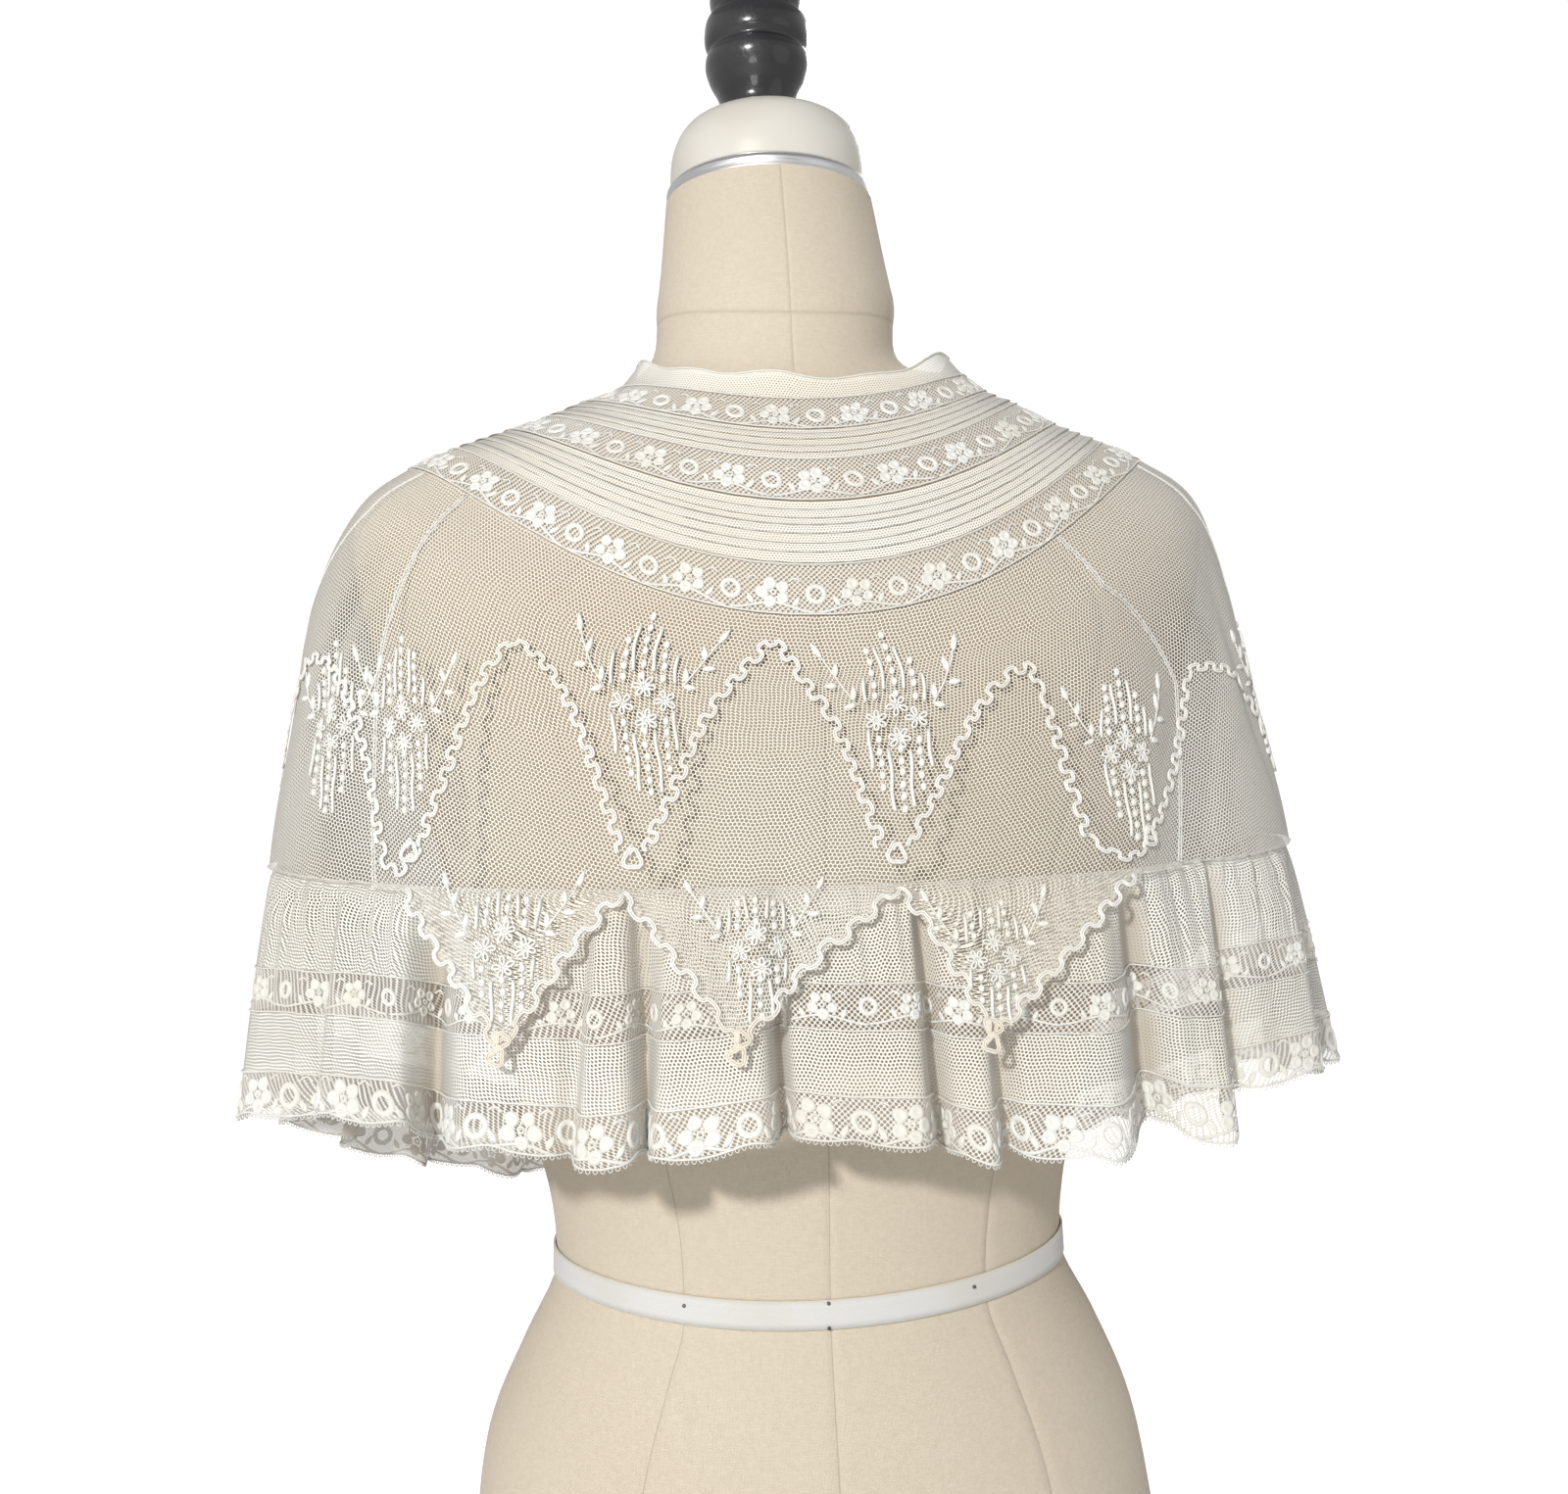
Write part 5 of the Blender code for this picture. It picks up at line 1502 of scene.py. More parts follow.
def lace_repeat(width, chance):
    """One repeat of the lace, with x along, y down and the strip's middle at zero."""
    drawings = []
    grow = width / REPEAT_WIDTH
    turn = chance.uniform(-0.3, 0.3)
    for petal in range(LACE_PETALS):
        angle = math.pi / 2 + petal * 2 * math.pi / LACE_PETALS + turn
        x, y = PETALS_ACROSS * math.cos(angle) * grow, PETALS_DOWN * math.sin(angle) * grow
        radius = PETAL_RADIUS * grow * chance.uniform(0.88, 1.08)
        outline = round_outline(x, y - FLOWER_RISE, radius, 12, 3, 0.06, angle)
        drawings.append(flat_pad(outline, PAD_HEIGHT, PETAL_PROFILE))
    drawings.append(flat_ring((0.0, -FLOWER_RISE), EYE_OUTER * grow, EYE_INNER * grow,
                              PAD_HEIGHT, 10))
    drawings.append(flat_ring((LACE_REPEAT / 2, -RING_RISE), RING_OUTER * grow,
                              RING_INNER * grow, PAD_HEIGHT))
    along = np.linspace(-LACE_REPEAT / 2, LACE_REPEAT / 2, 25)
    wave = (GIMP_DOWN - GIMP_SWING * np.cos(2 * math.pi * along / LACE_REPEAT)) * grow
    gimp = np.stack([along, wave], -1)
    drawings.append(flat_cord(gimp, GIMP_WIDTH * grow, GIMP_HEIGHT, 4))
    for side in (-1, 1):
        base = (side * LACE_LEAF_BASE[0] * grow, LACE_LEAF_BASE[1] * grow)
        tip = (side * LACE_LEAF_TIP[0] * grow, LACE_LEAF_TIP[1])
        outline = leaf_outline(base, tip, LACE_LEAF_WIDTH * grow)
        drawings.append(flat_pad(outline, PAD_HEIGHT * 0.8))
        share = np.linspace(0, 1, 8)
        curl = np.stack([side * (CURL_START + CURL_LENGTH * share) * MM * grow,
                         (-CURL_UP - CURL_BULGE * np.sin(math.pi * share)) * MM * grow], -1)
        drawings.append(flat_cord(curl, CURL_WIDTH, CURL_HEIGHT, 4))
    return join_flat(drawings)


def press_repeats(name, sheet, width, repeat):
    """Presses the lace repeat along the middle of a strip as often as it fits."""
    chance = random.Random(name)
    middle = sheet.rows // 2
    length = sheet.along[middle, -1]
    count = max(1, round(length / repeat))
    pressed = []
    for index in range(count):
        column = sheet.column_at(middle, (index + 0.5) * length / count)
        points, faces = lace_repeat(width, chance)
        points = points * [length / count / repeat, 1.0, 1.0]
        pressed.append(press((points, faces), sheet, middle, column, FLOWER_LIFT))
    print(name, "has", count, "repeats over", round(float(length), 3), "m")
    return new_piece(name, *join_flat(pressed), lace_thread, "cotton_lace")


# %% Lace on its strips
LACE_STRIPS = (
    # strip, width that its flowers fill, length of a repeat, width of its headings
    ("lace_band_1", 19.0 * MM, LACE_REPEAT, 0.9 * MM),
    ("lace_band_2", 19.0 * MM, LACE_REPEAT, 0.9 * MM),
    ("lace_band_3", 19.0 * MM, LACE_REPEAT, 0.9 * MM),
    ("ruffle_insertion", 16.0 * MM, LACE_REPEAT, 0.9 * MM),
    ("ruffle_edging", 22.0 * MM, SCALLOP, 1.1 * MM),
)
strips = {**yoke, **ruffle}
lace_pieces = {name: press_repeats(name + "_flowers", strips[name], width, repeat)
               for name, width, repeat, _ in LACE_STRIPS}

# %% [markdown]
# Every strip of lace has a straight heading along its edges, and the seams show as fine raised
# lines. These cords follow a row of points of the sheet that they edge. The hem of the edging
# is a thicker cord with a row of tiny loops, the picots.

# %% Headings
HEADING_STEP = 2.2 * MM
# Shares of a cord's width
HEADING_UNEVENNESS, HEADING_HEIGHT = 0.12, 0.8


def row_line(sheet, row):
    return sheet.points[row], sheet.normals[row]


def wavy_path(length, step, height, chance):
    """A nearly straight flat path with a little chance waviness."""
    count = max(3, round(length / step))
    x = np.linspace(0, length, count)
    y = np.array([chance.uniform(-height, height) for _ in x])
    return np.stack([x, y], -1)


def heading_piece(name, lines, width, material, slot, lift=0.1 * MM):
    """Slightly uneven cords along lines on the cloth, as one piece."""
    chance = random.Random(name)
    drawings = []
    for line, normals in lines:
        path = wavy_path(line_length(line), HEADING_STEP, width * HEADING_UNEVENNESS, chance)
        cord = lifted(flat_cord(path, width, width * HEADING_HEIGHT, 4), lift)
        drawings.append(bend_along(cord, line, normals))
    return new_piece(name, *join_flat(drawings), material, slot)


for name, _, _, width in LACE_STRIPS:
    lines = [row_line(strips[name], row) for row in (0, -1)]
    lace_pieces[name + "_heading"] = heading_piece(name + "_headings", lines, width, lace_thread,
                                                   "cotton_lace")
neck_roll = heading_piece("neck_band_roll", [row_line(yoke["neck_band"], 0)], 1.0 * MM,
                          sewing_thread, "cotton_net")
gather_seam = heading_piece("ruffle_gather_seam", [row_line(ruffle["ruffle_upper_net"], 0)],
                            1.0 * MM, sewing_thread, "cotton_net", -0.3 * MM)

# %% Picots
PICOT_SPACING = 2.7 * MM
PICOT_REACH, PICOT_HALF_WIDTH = 1.7 * MM, 0.9 * MM
PICOT_THREAD = 0.45 * MM
hem_line, hem_normals = row_line(ruffle["ruffle_edging"], -1)
picots = []
turn = np.linspace(0, math.pi, 6)
for index in range(int(line_length(hem_line) / PICOT_SPACING)):
    middle = (index + 0.5) * PICOT_SPACING
    path = np.stack([middle + np.cos(turn) * PICOT_HALF_WIDTH, np.sin(turn) * PICOT_REACH], -1)
    picots.append(flat_cord(path, PICOT_THREAD, PICOT_THREAD, 4))
picot_edge = new_piece("picot_edge", *bend_along(join_flat(picots), hem_line, hem_normals),
                       lace_thread, "cotton_lace")
print(len(picots), "picots")

# %% [markdown]
# The panels are joined by an open zigzag stitch between two fine edges. A bump could draw it,
# but the camera is near enough to see its thread, so it is laid along each seam of the body,
# from the lace band to the ruffle.

# %% Panel seams
SEAM_ZIGZAG = 2.6 * MM
SEAM_WIDTH = 1.4 * MM
SEAM_THREAD, SEAM_EDGE, SEAM_UNEVENNESS = 0.5 * MM, 0.6 * MM, 0.1 * MM


def body_line(ring, degrees):
    """Points and normals on the body's net along a list of places."""
    row, column = body_place(np.asarray(ring, float), np.asarray(degrees, float))
    line = body_sheet.at(row, column, 0.0)
    return line, unit(body_sheet.at(row, column, 1.0) - line)


seam_rings = np.linspace(BAND_3_FOOT + 0.02, RUFFLE_SEAM, 90)
for seam in SEAM_COLUMNS[1:]:
    line, normals = body_line(seam_rings, seam_angle(seam, seam_rings))
    length = line_length(line)
    count = int(length / SEAM_ZIGZAG * 2)
    x = np.linspace(0, length, count)
    y = np.where(np.arange(count) % 2, 1, -1) * SEAM_WIDTH / 2
    drawings = [flat_cord(np.stack([x, y], -1), SEAM_THREAD, SEAM_THREAD, 4)]
    chance = random.Random(seam)
    for side in (-1, 1):
        edge = wavy_path(length, HEADING_STEP, SEAM_UNEVENNESS, chance)
        edge = edge + [0, side * SEAM_WIDTH / 2]
        drawings.append(flat_cord(edge, SEAM_EDGE, SEAM_EDGE, 4))
    new_piece("seam_" + seam, *bend_along(join_flat(drawings), line, normals), sewing_thread,
              "cotton_net")

# %% [markdown]
# The embroidery is a spray that repeats on every scallop and flap: four open flowers of
# chain-stitch petals in a diamond, upright lines of cord and of small satin dots by turns
# above and below them, and a twig of leaves at each side. It is drawn by rule, so each
# spray gets its own small chance differences, as hand work has.

# %% Stitches of a spray
THREAD = 1.05 * MM
# A petal's loop, in mm: where it starts, its shortest and longest reach, half width and taper
PETAL_START, PETAL_REACH, PETAL_SIDE, PETAL_TAPER = 0.9, (4.2, 5.0), 1.1, 0.6
KNOT_RADIUS, KNOT_HEIGHT = 0.7, 0.8 * MM
DOT_PITCH = 5.0
DOT_RADIUS, DOT_STRETCH, DOT_HEIGHT = 1.25, 1.45, 1.3 * MM
# Width and height of the thread between two dots, and of the cord of a plain line
TIE_SIZE, LINE_SIZE = (0.4 * MM, 0.3 * MM), (1.6 * MM, 1.4 * MM)
LINE_WAVE, LINE_WAVE_PACE = 0.35, 3.1


def daisy(x, y, chance):
    """An open flower: looped petals round a small knot, in mm."""
    petals = chance.choice((5, 6, 6))
    start = chance.uniform(0, 2 * math.pi)
    drawings = []
    for petal in range(petals):
        angle = start + 2 * math.pi * petal / petals + chance.uniform(-0.12, 0.12)
        reach = chance.uniform(*PETAL_REACH)
        turn = np.linspace(0, 2 * math.pi, 11)[:-1]
        along = PETAL_START + (reach - PETAL_START) * (1 - np.cos(turn)) / 2
        side = PETAL_SIDE * np.sin(turn) * np.sin(turn / 2) ** PETAL_TAPER
        path = np.stack([x + along * math.cos(angle) - side * math.sin(angle),
                         y + along * math.sin(angle) + side * math.cos(angle)], -1)
        drawings.append(flat_cord(path * MM, THREAD, THREAD * 1.1, 5, closed=True))
    drawings.append(flat_pad(round_outline(x, y, KNOT_RADIUS, 8) * MM, KNOT_HEIGHT))
    return drawings


def upright(x, start, end, dotted, chance):
    """An upright line of the spray, as a cord or as a row of satin dots, in mm."""
    length = abs(end - start)
    sign = 1 if end > start else -1
    lean = chance.uniform(-0.8, 0.8)
    if dotted:
        drawings = []
        for index in range(int(length / DOT_PITCH) + 1):
            y = start + sign * index * DOT_PITCH + chance.uniform(-0.4, 0.4)
            outline = round_outline(0, 0, DOT_RADIUS, 8) * [1.0, DOT_STRETCH]
            middle = x + lean * index * DOT_PITCH / length + chance.uniform(-0.3, 0.3)
            drawings.append(flat_pad((outline + [middle, y]) * MM, DOT_HEIGHT))
            if index:
                tie = np.linspace([previous[0], previous[1]], [middle, y], 4)
                drawings.append(flat_cord(tie * MM, *TIE_SIZE, 4))
            previous = (middle, y)
        return drawings
    share = np.linspace(0, 1, max(5, int(length / 2.2)))
    wave = LINE_WAVE * np.sin(share * length / LINE_WAVE_PACE + chance.uniform(0, 6))
    path = np.stack([x + lean * share + wave, start + (end - start) * share], -1)
    return [flat_cord(path * MM, *LINE_SIZE, 5)]


# %% One spray
FLOWERS = ((0.0, -7.0), (-8.6, -0.6), (8.2, 0.2), (-0.6, 7.0))
LINE_PITCH, SIDE_LINES = 4.1, 3
# Upper and lower lines at each distance from the middle, in mm: where they start and end
UPPER_LINES = ((-12.0, -40.0), (-13.5, -33.5), (-10.5, -31.0), (-8.0, -20.5))
LOWER_LINES = ((12.0, 41.0), (12.5, 38.0), (8.0, 31.5), (4.0, 21.5))
TWIG_SIZE = (0.9 * MM, 0.8 * MM)
TWIG = ((-15.5, -6.5), (-21.0, -14.5), (-26.0, -24.0), (-28.5, -30.5))
# Leaves of a twig: where each leaves it and where its tip lies
TWIG_LEAVES = (((-15.8, -7.0), (-21.5, -5.2)), ((-17.0, -8.5), (-16.6, -15.6)),
               ((-22.8, -15.0), (-29.0, -14.6)), ((-23.8, -18.5), (-22.0, -26.0)),
               ((-27.2, -26.5), (-30.2, -34.5)))
LEAF_WIDTH, LEAF_HEIGHT = 2.6, 1.2 * MM
BOTTOM_SLANT = 0.068


def spray(chance, top, bottom):
    """One whole spray, with x along, y down and its flowers round zero."""
    drawings = []
    for x, y in FLOWERS:
        drawings += daisy(x + chance.uniform(-0.5, 0.5), y + chance.uniform(-0.5, 0.5), chance)
    for step in range(-SIDE_LINES, SIDE_LINES + 1):
        for lines in (UPPER_LINES, LOWER_LINES):
            start, end = lines[abs(step)]
            end = min(max(end, top), bottom * (1 - BOTTOM_SLANT * step * step))
            end = end + chance.uniform(-2.0, 1.0) * (1 if end > 0 else -1)
            x = step * LINE_PITCH + chance.uniform(-0.4, 0.4)
            drawings += upright(x, start, end, step % 2 == 0, chance)
    for side in (-1, 1):
        flip = np.array([-side, 1.0])
        drawings.append(flat_cord(np.array(TWIG) * flip * MM, *TWIG_SIZE, 5))
        for base, tip in TWIG_LEAVES:
            outline = leaf_outline(np.array(base) * flip, np.array(tip) * flip, LEAF_WIDTH)
            drawings.append(flat_pad(outline * MM, LEAF_HEIGHT))
    return join_flat(drawings)


# %% Places of the sprays
# The longest lines above and below the flowers, in mm: the edges of a flap cut them short
WHOLE_SPRAY_TOP, FLAP_SPRAY_TOP = -45.0, -25.0
WHOLE_SPRAY_FOOT, FLAP_SPRAY_FOOT = 60.0, 32.0
SPRAY_LIFT = 0.1 * MM
# Each spray: panel, ring position and degrees of its flowers, and its size
SPRAYS = [
    ("back_panel", 8.74, 46.0, 0.94), ("back_panel", 7.96, 16.5, 1.0),
    ("back_panel", 8.12, -5.8, 1.0), ("back_panel", 8.94, -31.8, 0.94),
    ("side_gore_left", 8.90, 60.5, 0.95), ("side_gore_right", 8.88, -76.0, 0.95),
    ("back_panel", 10.24, 28.2, 0.95), ("back_panel", 10.25, 5.7, 0.9),
    ("back_panel", 10.31, -11.2, 0.85),
]
for side, name in ((-1, "front_right"), (1, "front_left")):
    for index, place in enumerate(front_junctions(side)[1:-1] + middles(front_junctions(side))):
        upper = index < FRONT_FLAPS - 1
        SPRAYS.append((name, 8.3 if upper else 10.2, float(place), 1.0 if upper else 0.9))


def upright_turn(sheet, row, column):
    """How far a drawing turns in the cloth for its upright lines to hang plumb."""
    rows, columns = sheet.walk(row, column, np.array([0.0, 0.0, 1.0]) * MM,
                               np.array([0.0, 1.0, 0.0]) * MM)
    spot, below, beside = sheet.at(rows, columns, np.zeros(3))
    down, along = unit(below - spot), unit(beside - spot)
    normal = unit(np.cross(along, down))
    plumb = np.array([0.0, 0.0, -1.0]) + normal * normal[2]
    return math.atan2(-float(plumb @ along), float(plumb @ down))


# %% Embroidery on the panels
embroidery = {}
for name, ring, degrees, size in SPRAYS:
    chance = random.Random(f"{name} {degrees:.1f}")
    place = body_place(ring, degrees)
    top = FLAP_SPRAY_TOP if ring > RUFFLE_SEAM else WHOLE_SPRAY_TOP
    bottom = FLAP_SPRAY_FOOT if ring > RUFFLE_SEAM else WHOLE_SPRAY_FOOT
    turn = upright_turn(body_sheet, *place)
    drawing = moved_flat(spray(chance, top, bottom), 0.0, 0.0, turn, size)
    pressed = press(drawing, body_sheet, *place, SPRAY_LIFT)
    embroidery.setdefault(name, []).append(pressed)
embroidery_pieces = {name: new_piece(name + "_embroidery", *join_flat(drawings), sewing_thread,
                                     "cotton_net") for name, drawings in embroidery.items()}

# %% [markdown]
# Soutache is a flat braid of two cords side by side. It is sewn on in a tight meander, so it
# is drawn flat as two cords along a winding path and then bent along each arch and each
# flap's edge. Loops of braid cover the places where arches meet and finish the flaps' tips.

# %% Braid
ARCH_MEANDER, FLAP_MEANDER = 9.4 * MM, 13.0 * MM
MEANDER_REACH = 1.9 * MM
MEANDER_LEAN = 0.95 * MM
CORD_WIDTH = 0.9 * MM
CORD_HEIGHT = 1.1 * MM
STEPS_A_TURN = 16
BRAID_LIFT = 0.6 * MM
LOOP_SHRINK, LOOP_LOBES = 0.3, 0.16


def meander(length, chance, period):
    """Two cords side by side along a winding path of a given length."""
    turns = max(1, round(length / period))
    count = turns * STEPS_A_TURN + 1
    phase = np.linspace(0, turns, count)
    knots = np.arange(turns + 2)
    reach = MEANDER_REACH * np.interp(phase, knots, [chance.uniform(0.6, 1.25) for _ in knots])
    drift = MM * np.interp(phase, knots, [chance.uniform(-1.3, 1.3) for _ in knots])
    x = phase / turns * length - MEANDER_LEAN * np.sin(4 * math.pi * phase) + drift
    y = reach * np.sin(2 * math.pi * phase)
    return two_cords(np.stack([x, y], -1))


def two_cords(path):
    left = to_left(unit(np.gradient(path, axis=0)))
    return join_flat([flat_cord(path + left * side * CORD_WIDTH * 0.5, CORD_WIDTH, CORD_HEIGHT)
                      for side in (-1, 1)])


def braid_loop(radius, turns, chance):
    """A small curl of braid in its own plane, with y down."""
    turn = np.linspace(0, 2 * math.pi * turns, int(STEPS_A_TURN * turns))
    lobes = LOOP_LOBES * np.cos(3 * turn + chance.uniform(-0.5, 0.5))
    size = radius * (1 - LOOP_SHRINK * turn / turn[-1] + lobes)
    across = size * np.sin(turn) * chance.uniform(0.8, 1.0)
    return two_cords(np.stack([across, radius - size * np.cos(turn)], -1))


def sewn_braid(line, normals, period, chance):
    """A meander of braid bent along a line on the cloth."""
    drawing = lifted(meander(line_length(line), chance, period), BRAID_LIFT)
    return bend_along(drawing, line, normals)


# %% Lines of the arches
# Braid arches from the right side over the back to the left: a leg's power is its curve
ARCHES = (
    # peak degrees, peak ring, right foot, right power, left foot, left power
    (-50.0, 8.43, -84.0, 1.6, -33.2, 0.9),
    (-20.5, 7.62, -23.2, 4.0, -5.4, 1.65),
    (4.8, 6.52, -3.0, 1.8, 15.0, 1.1),
    (32.8, 7.58, 17.4, 2.2, 40.0, 1.35),
    (68.6, 8.45, 47.0, 2.6, 91.0, 1.6),
)
FRONT_PEAK_RING, FRONT_POWER, FRONT_FOOT_SPREAD = 7.7, 1.6, 1.5
ARCH_FOOT_RING = 9.76
ARCH_STEPS = 120
BRIDGE_SAG = 0.17


def arch_line(peak, peak_ring, right_foot, right_power, left_foot, left_power):
    turn = np.linspace(-1, 1, ARCH_STEPS + 1)
    along = np.abs(turn)
    foot = np.where(turn > 0, left_foot, right_foot)
    power = np.where(turn > 0, left_power, right_power)
    ring = ARCH_FOOT_RING + (peak_ring - ARCH_FOOT_RING) * (1 - along ** power)
    return body_line(ring, peak + (foot - peak) * along)


def curl_at(ring, degrees, drawing):
    """A curl of braid laid in the plane of the cloth at a place."""
    row, column = body_place(ring, degrees)
    spot = body_sheet.at(row + np.array([0, 0, 1]), column + np.array([0, 1, 0]), 0.0)
    along, down = unit(spot[1] - spot[0]), unit(spot[2] - spot[0])
    normal = unit(np.cross(along, down))
    points, faces = drawing
    return spot[0] + points @ np.stack([along, np.cross(normal, along), normal]), faces


def arches_of_front(side):
    feet = front_junctions(side)
    return [((a + b) / 2, FRONT_PEAK_RING, a + FRONT_FOOT_SPREAD, FRONT_POWER,
             b - FRONT_FOOT_SPREAD, FRONT_POWER) for a, b in zip(feet, feet[1:])]


def bridge_line(first, last):
    """A sagging line from one arch's left foot to the next one's right foot."""
    share = np.linspace(0, 1, 30)
    return body_line(ARCH_FOOT_RING + BRIDGE_SAG * np.sin(math.pi * share),
                     first + (last - first) * share)


# %% Arches of braid
JUNCTION_LOOP, LOOP_TURNS = 4.4 * MM, 1.15
# Where a loop lies from its arch's left foot: degrees across and rings up
LOOP_SHIFT, LOOP_RISE = 1.2, 0.04
# A line of braid bridges feet that stand more than this many degrees apart
WIDE_GAP = 4.0
all_arches = arches_of_front(-1) + list(ARCHES) + arches_of_front(1)
for index, arch in enumerate(all_arches, 1):
    chance = random.Random(index)
    drawings = [sewn_braid(*arch_line(*arch), ARCH_MEANDER, chance)]
    loop = lifted(braid_loop(JUNCTION_LOOP, LOOP_TURNS, chance), BRAID_LIFT + CORD_HEIGHT / 2)
    drawings.append(curl_at(ARCH_FOOT_RING - LOOP_RISE, arch[4] + LOOP_SHIFT, loop))
    neighbour = all_arches[index - 2][4] if index > 1 else arch[2]
    if arch[2] - neighbour > WIDE_GAP:
        drawings.append(sewn_braid(*bridge_line(neighbour, arch[2]), ARCH_MEANDER, chance))
    piece = new_piece(f"braid_arch_{index}_cords", *join_flat(drawings), braid_thread,
                      "soutache_braid")
    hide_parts(f"braid_arch_{index}")

# %% [markdown]
# The same braid edges every flap, with two curls at its point. It has yellowed most there. A
# mask could be painted, but the distance from the tip is known and gives the same.

# %% Braid on the flaps
EDGE_INSET, FLAP_LENGTH = 2.6 * MM, 60.0 * MM
EDGE_STEPS = 40
EDGE_SEED = 100
TIP_FADE, TIP_YELLOWING = 14.0 * MM, 0.45
# Curls of braid at a flap's tip: size, shift along and down in mm, and turn
TIP_CURLS = ((3.2, 0.8, -5.5, 0.4), (3.6, -0.6, 0.5, -0.5))
TIP_CURL_TURNS = 1.3
flap_edges = [(name, *edge) for name, (junctions, tips) in FLAPS.items()
              for edge in zip(junctions, tips, junctions[1:])]
for index, (name, start, tip, end) in enumerate(flap_edges, 1):
    chance = random.Random(EDGE_SEED + index)
    degrees = np.concatenate([np.linspace(start, tip, EDGE_STEPS),
                              np.linspace(tip, end, EDGE_STEPS)[1:]])
    drop = flap_drop(name, degrees)
    drop = JUNCTION_DROP + (drop - JUNCTION_DROP) * (1 - EDGE_INSET / FLAP_LENGTH)
    line, normals = body_line(RUFFLE_SEAM + drop, degrees)
    drawings = [sewn_braid(line, normals, FLAP_MEANDER, chance)]
    curls = [moved_flat(braid_loop(size * MM, TIP_CURL_TURNS, chance), x * MM, y * MM, turn)
             for size, x, y, turn in TIP_CURLS]
    curl = lifted(join_flat(curls), BRAID_LIFT + CORD_HEIGHT / 2)
    drawings.append(curl_at(RUFFLE_SEAM + drop[EDGE_STEPS - 1], tip, curl))
    points, faces = join_flat(drawings)
    away = np.linalg.norm(points - line[EDGE_STEPS - 1], axis=1)
    yellowing = TIP_YELLOWING * np.exp(-(away / TIP_FADE) ** 2)
    piece = new_piece(f"braid_edge_{index}_cords", points, faces, braid_thread, "soutache_braid",
                      marks={"yellowing": yellowing})
    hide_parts(f"braid_edge_{index}")

# %% [markdown]
# The flat size of each sheet of cloth: a yoke strip is as long as its middle row, a ruffle
# strip as long as its hem, gathered into the seam, and a shaped panel has the area that its
# rows and columns measure.

# %% Sheets of cloth


# %% [markdown]
# The studio is a white bowl, floor and wall in one, so that no horizon shows from any side.
# A lamp from the upper left gives the shadows, and the bowl itself fills them. Its walls only
# glow and reflect nothing, because light that bounces between white walls is slow to render.

# %% Studio
STAGE_RADIUS = 3.0
STAGE_HEIGHT = 3.2
STAGE_STEPS = 64
# Glow of the floor near the form and of the walls, as the camera sees it and as it lights
SEEN_GLOWS = (0.82, 1.1)
BOUNCED_GLOWS = (0.20, 0.52)
FLOOR_SHADE = (0.5, 0.5, 0.5)
WALLS_FROM, WALLS_FULL = 0.7, 2.2
stage_profile = [(0.001, 0.0), (1.0, 0.0), (2.2, 0.0), (2.7, 0.12), (2.95, 0.5),
                 (STAGE_RADIUS, 1.4), (STAGE_RADIUS, STAGE_HEIGHT)]
stage_points = np.array([[[radius * math.sin(turn), radius * math.cos(turn), height]
                          for turn in full_turn(STAGE_STEPS)] for radius, height in stage_profile])
stage_mesh = bpy.data.meshes.new("studio")
stage_mesh.from_pydata(stage_points.reshape(-1, 3).tolist(), [],
                       grid_faces(len(stage_profile), STAGE_STEPS, closed=True).tolist())
stage_mesh.shade_smooth()
studio = bpy.data.objects.new("studio", stage_mesh)
bpy.context.scene.collection.objects.link(studio)
studio_white, tree, shader = new_finish("studio_white", roughness=1.0)
shader.inputs["Specular IOR Level"].default_value = 0.0
shader.inputs["Emission Color"].default_value = (1.0, 0.995, 0.98, 1.0)
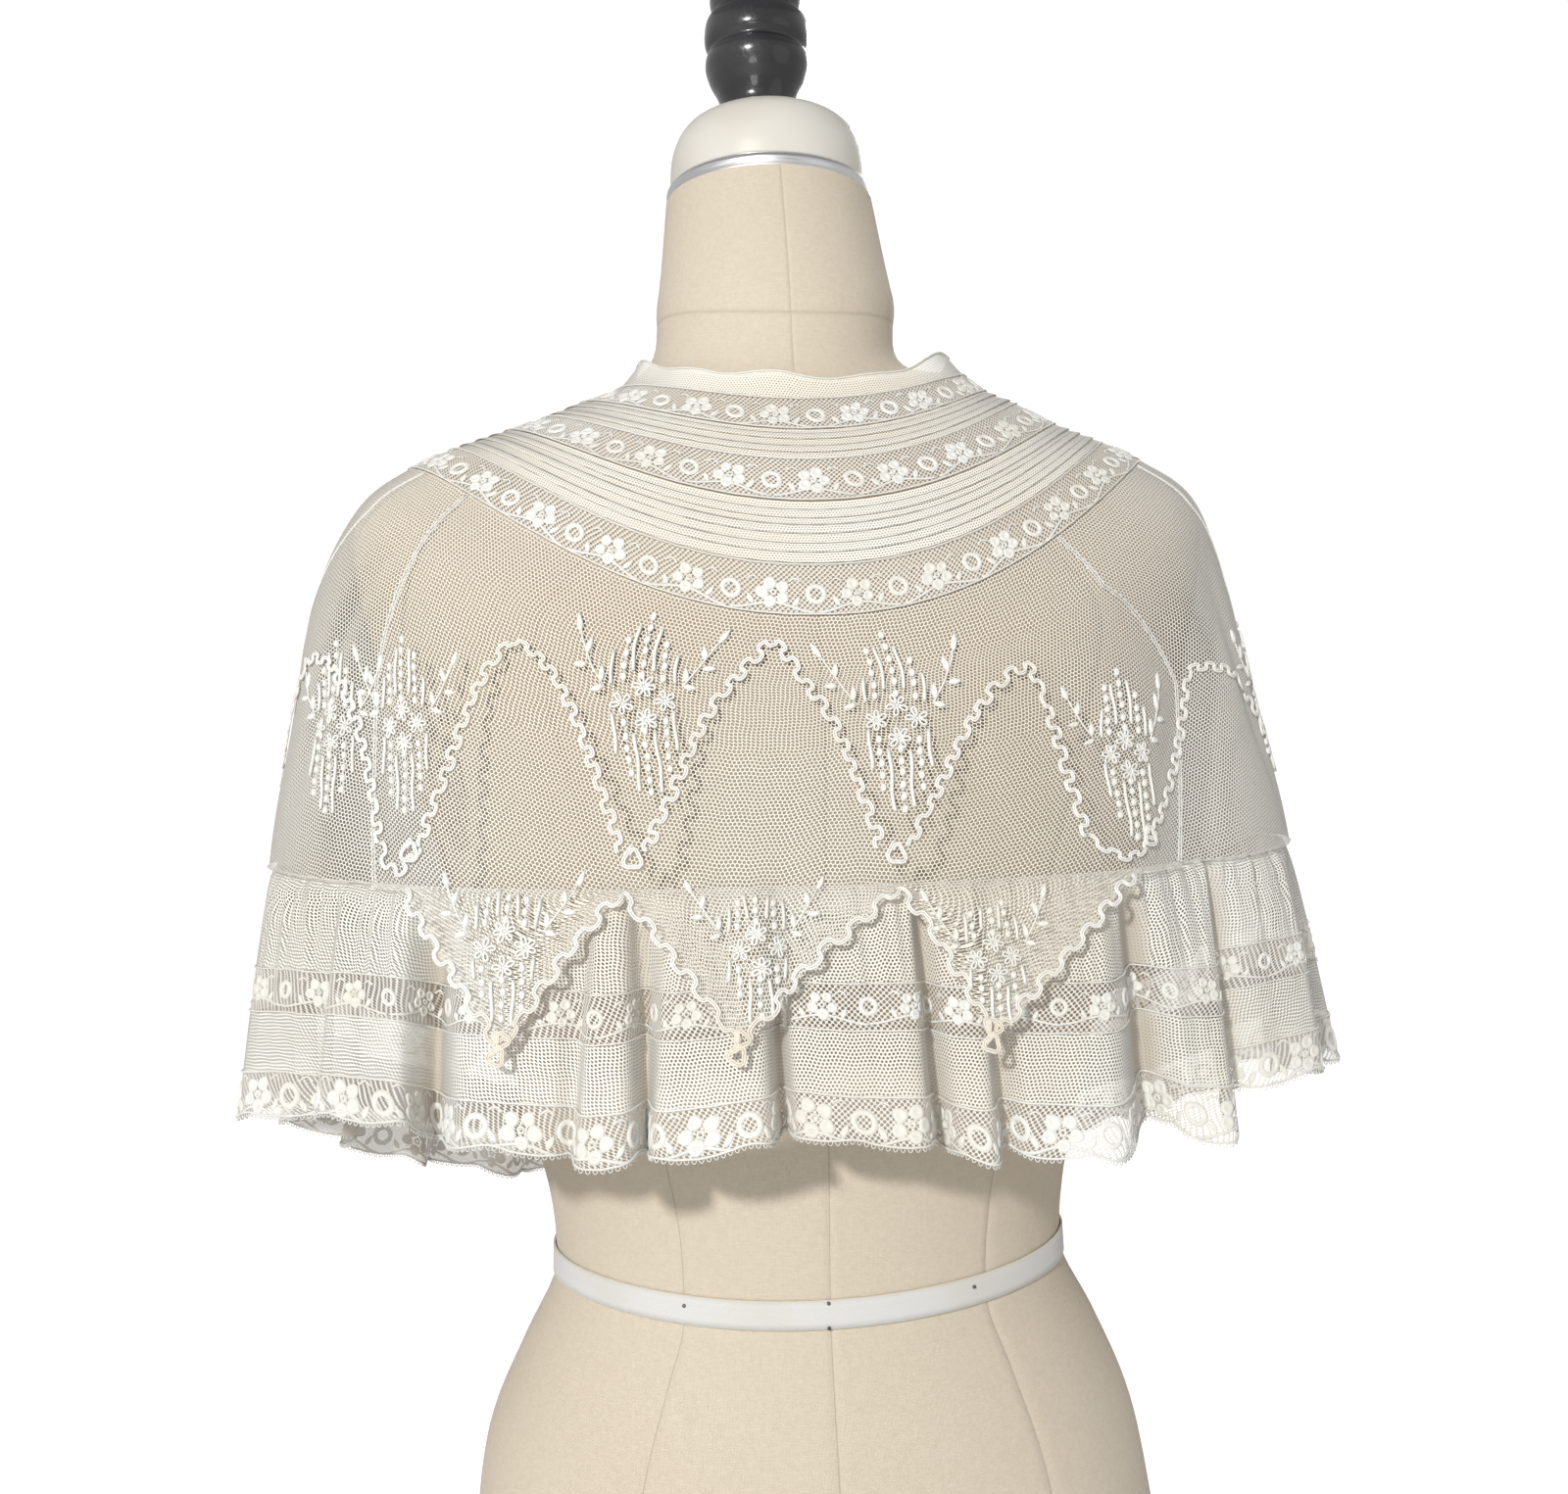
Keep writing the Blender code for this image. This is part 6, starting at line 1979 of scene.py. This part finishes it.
on_floor = vectors(tree, "MULTIPLY", solid_place(tree), (1.0, 1.0, 0.0))
far = ramp(tree, vectors(tree, "LENGTH", on_floor, out=1), WALLS_FROM, WALLS_FULL)
tree.links.new(mix_colours(tree, far, FLOOR_SHADE, (0.0, 0.0, 0.0)), shader.inputs["Base Color"])
bounced = ramp(tree, far, 0.0, 1.0, *BOUNCED_GLOWS)
shown = ramp(tree, far, 0.0, 1.0, *SEEN_GLOWS)
seen = node(tree, "ShaderNodeLightPath").outputs["Is Camera Ray"]
glow = node(tree, "ShaderNodeMapRange", seen, 0.0, 1.0, bounced, shown).outputs[0]
tree.links.new(glow, shader.inputs["Emission Strength"])
stage_mesh.materials.append(studio_white)

# %% Lamps and sky
LAMPS = (
    # name, place, what it aims at, width in metres, power in watts, colour
    ("key", (0.90, 1.88, 1.16), (0.0, 0.0, 0.38), 0.14, 38.5, (1.0, 0.985, 0.965)),
    ("fill", (-1.6, 1.5, 0.9), (0.0, 0.0, 0.45), 1.6, 1.6, (0.94, 0.97, 1.0)),
    ("low", (0.5, 1.7, 0.15), (0.05, -0.05, 0.30), 0.6, 2.5, (1.0, 0.98, 0.94)),
    ("front", (-1.1, -2.0, 1.5), (0.0, 0.0, 0.45), 1.2, 26.0, (1.0, 0.99, 0.97)),
)
SKY_STRENGTH = 0.25


def lamp(name, place, aim, size, power, colour):
    data = bpy.data.lights.new(name, "AREA")
    data.shape = "DISK"
    data.size = size
    data.energy = power
    data.color = colour
    made = bpy.data.objects.new(name, data)
    made.location = place
    made.rotation_euler = (Vector(aim) - Vector(place)).to_track_quat("-Z", "Y").to_euler()
    made.visible_camera = False
    bpy.context.scene.collection.objects.link(made)


for row in LAMPS:
    lamp(*row)
world = bpy.data.worlds.new("soft_sky")
world.use_nodes = True
world.node_tree.nodes["Background"].inputs[0].default_value = (1.0, 1.0, 1.0, 1.0)
world.node_tree.nodes["Background"].inputs[1].default_value = SKY_STRENGTH
bpy.context.scene.world = world
bpy.context.scene.view_settings.view_transform = "Standard"
print(len(LAMPS), "lamps")
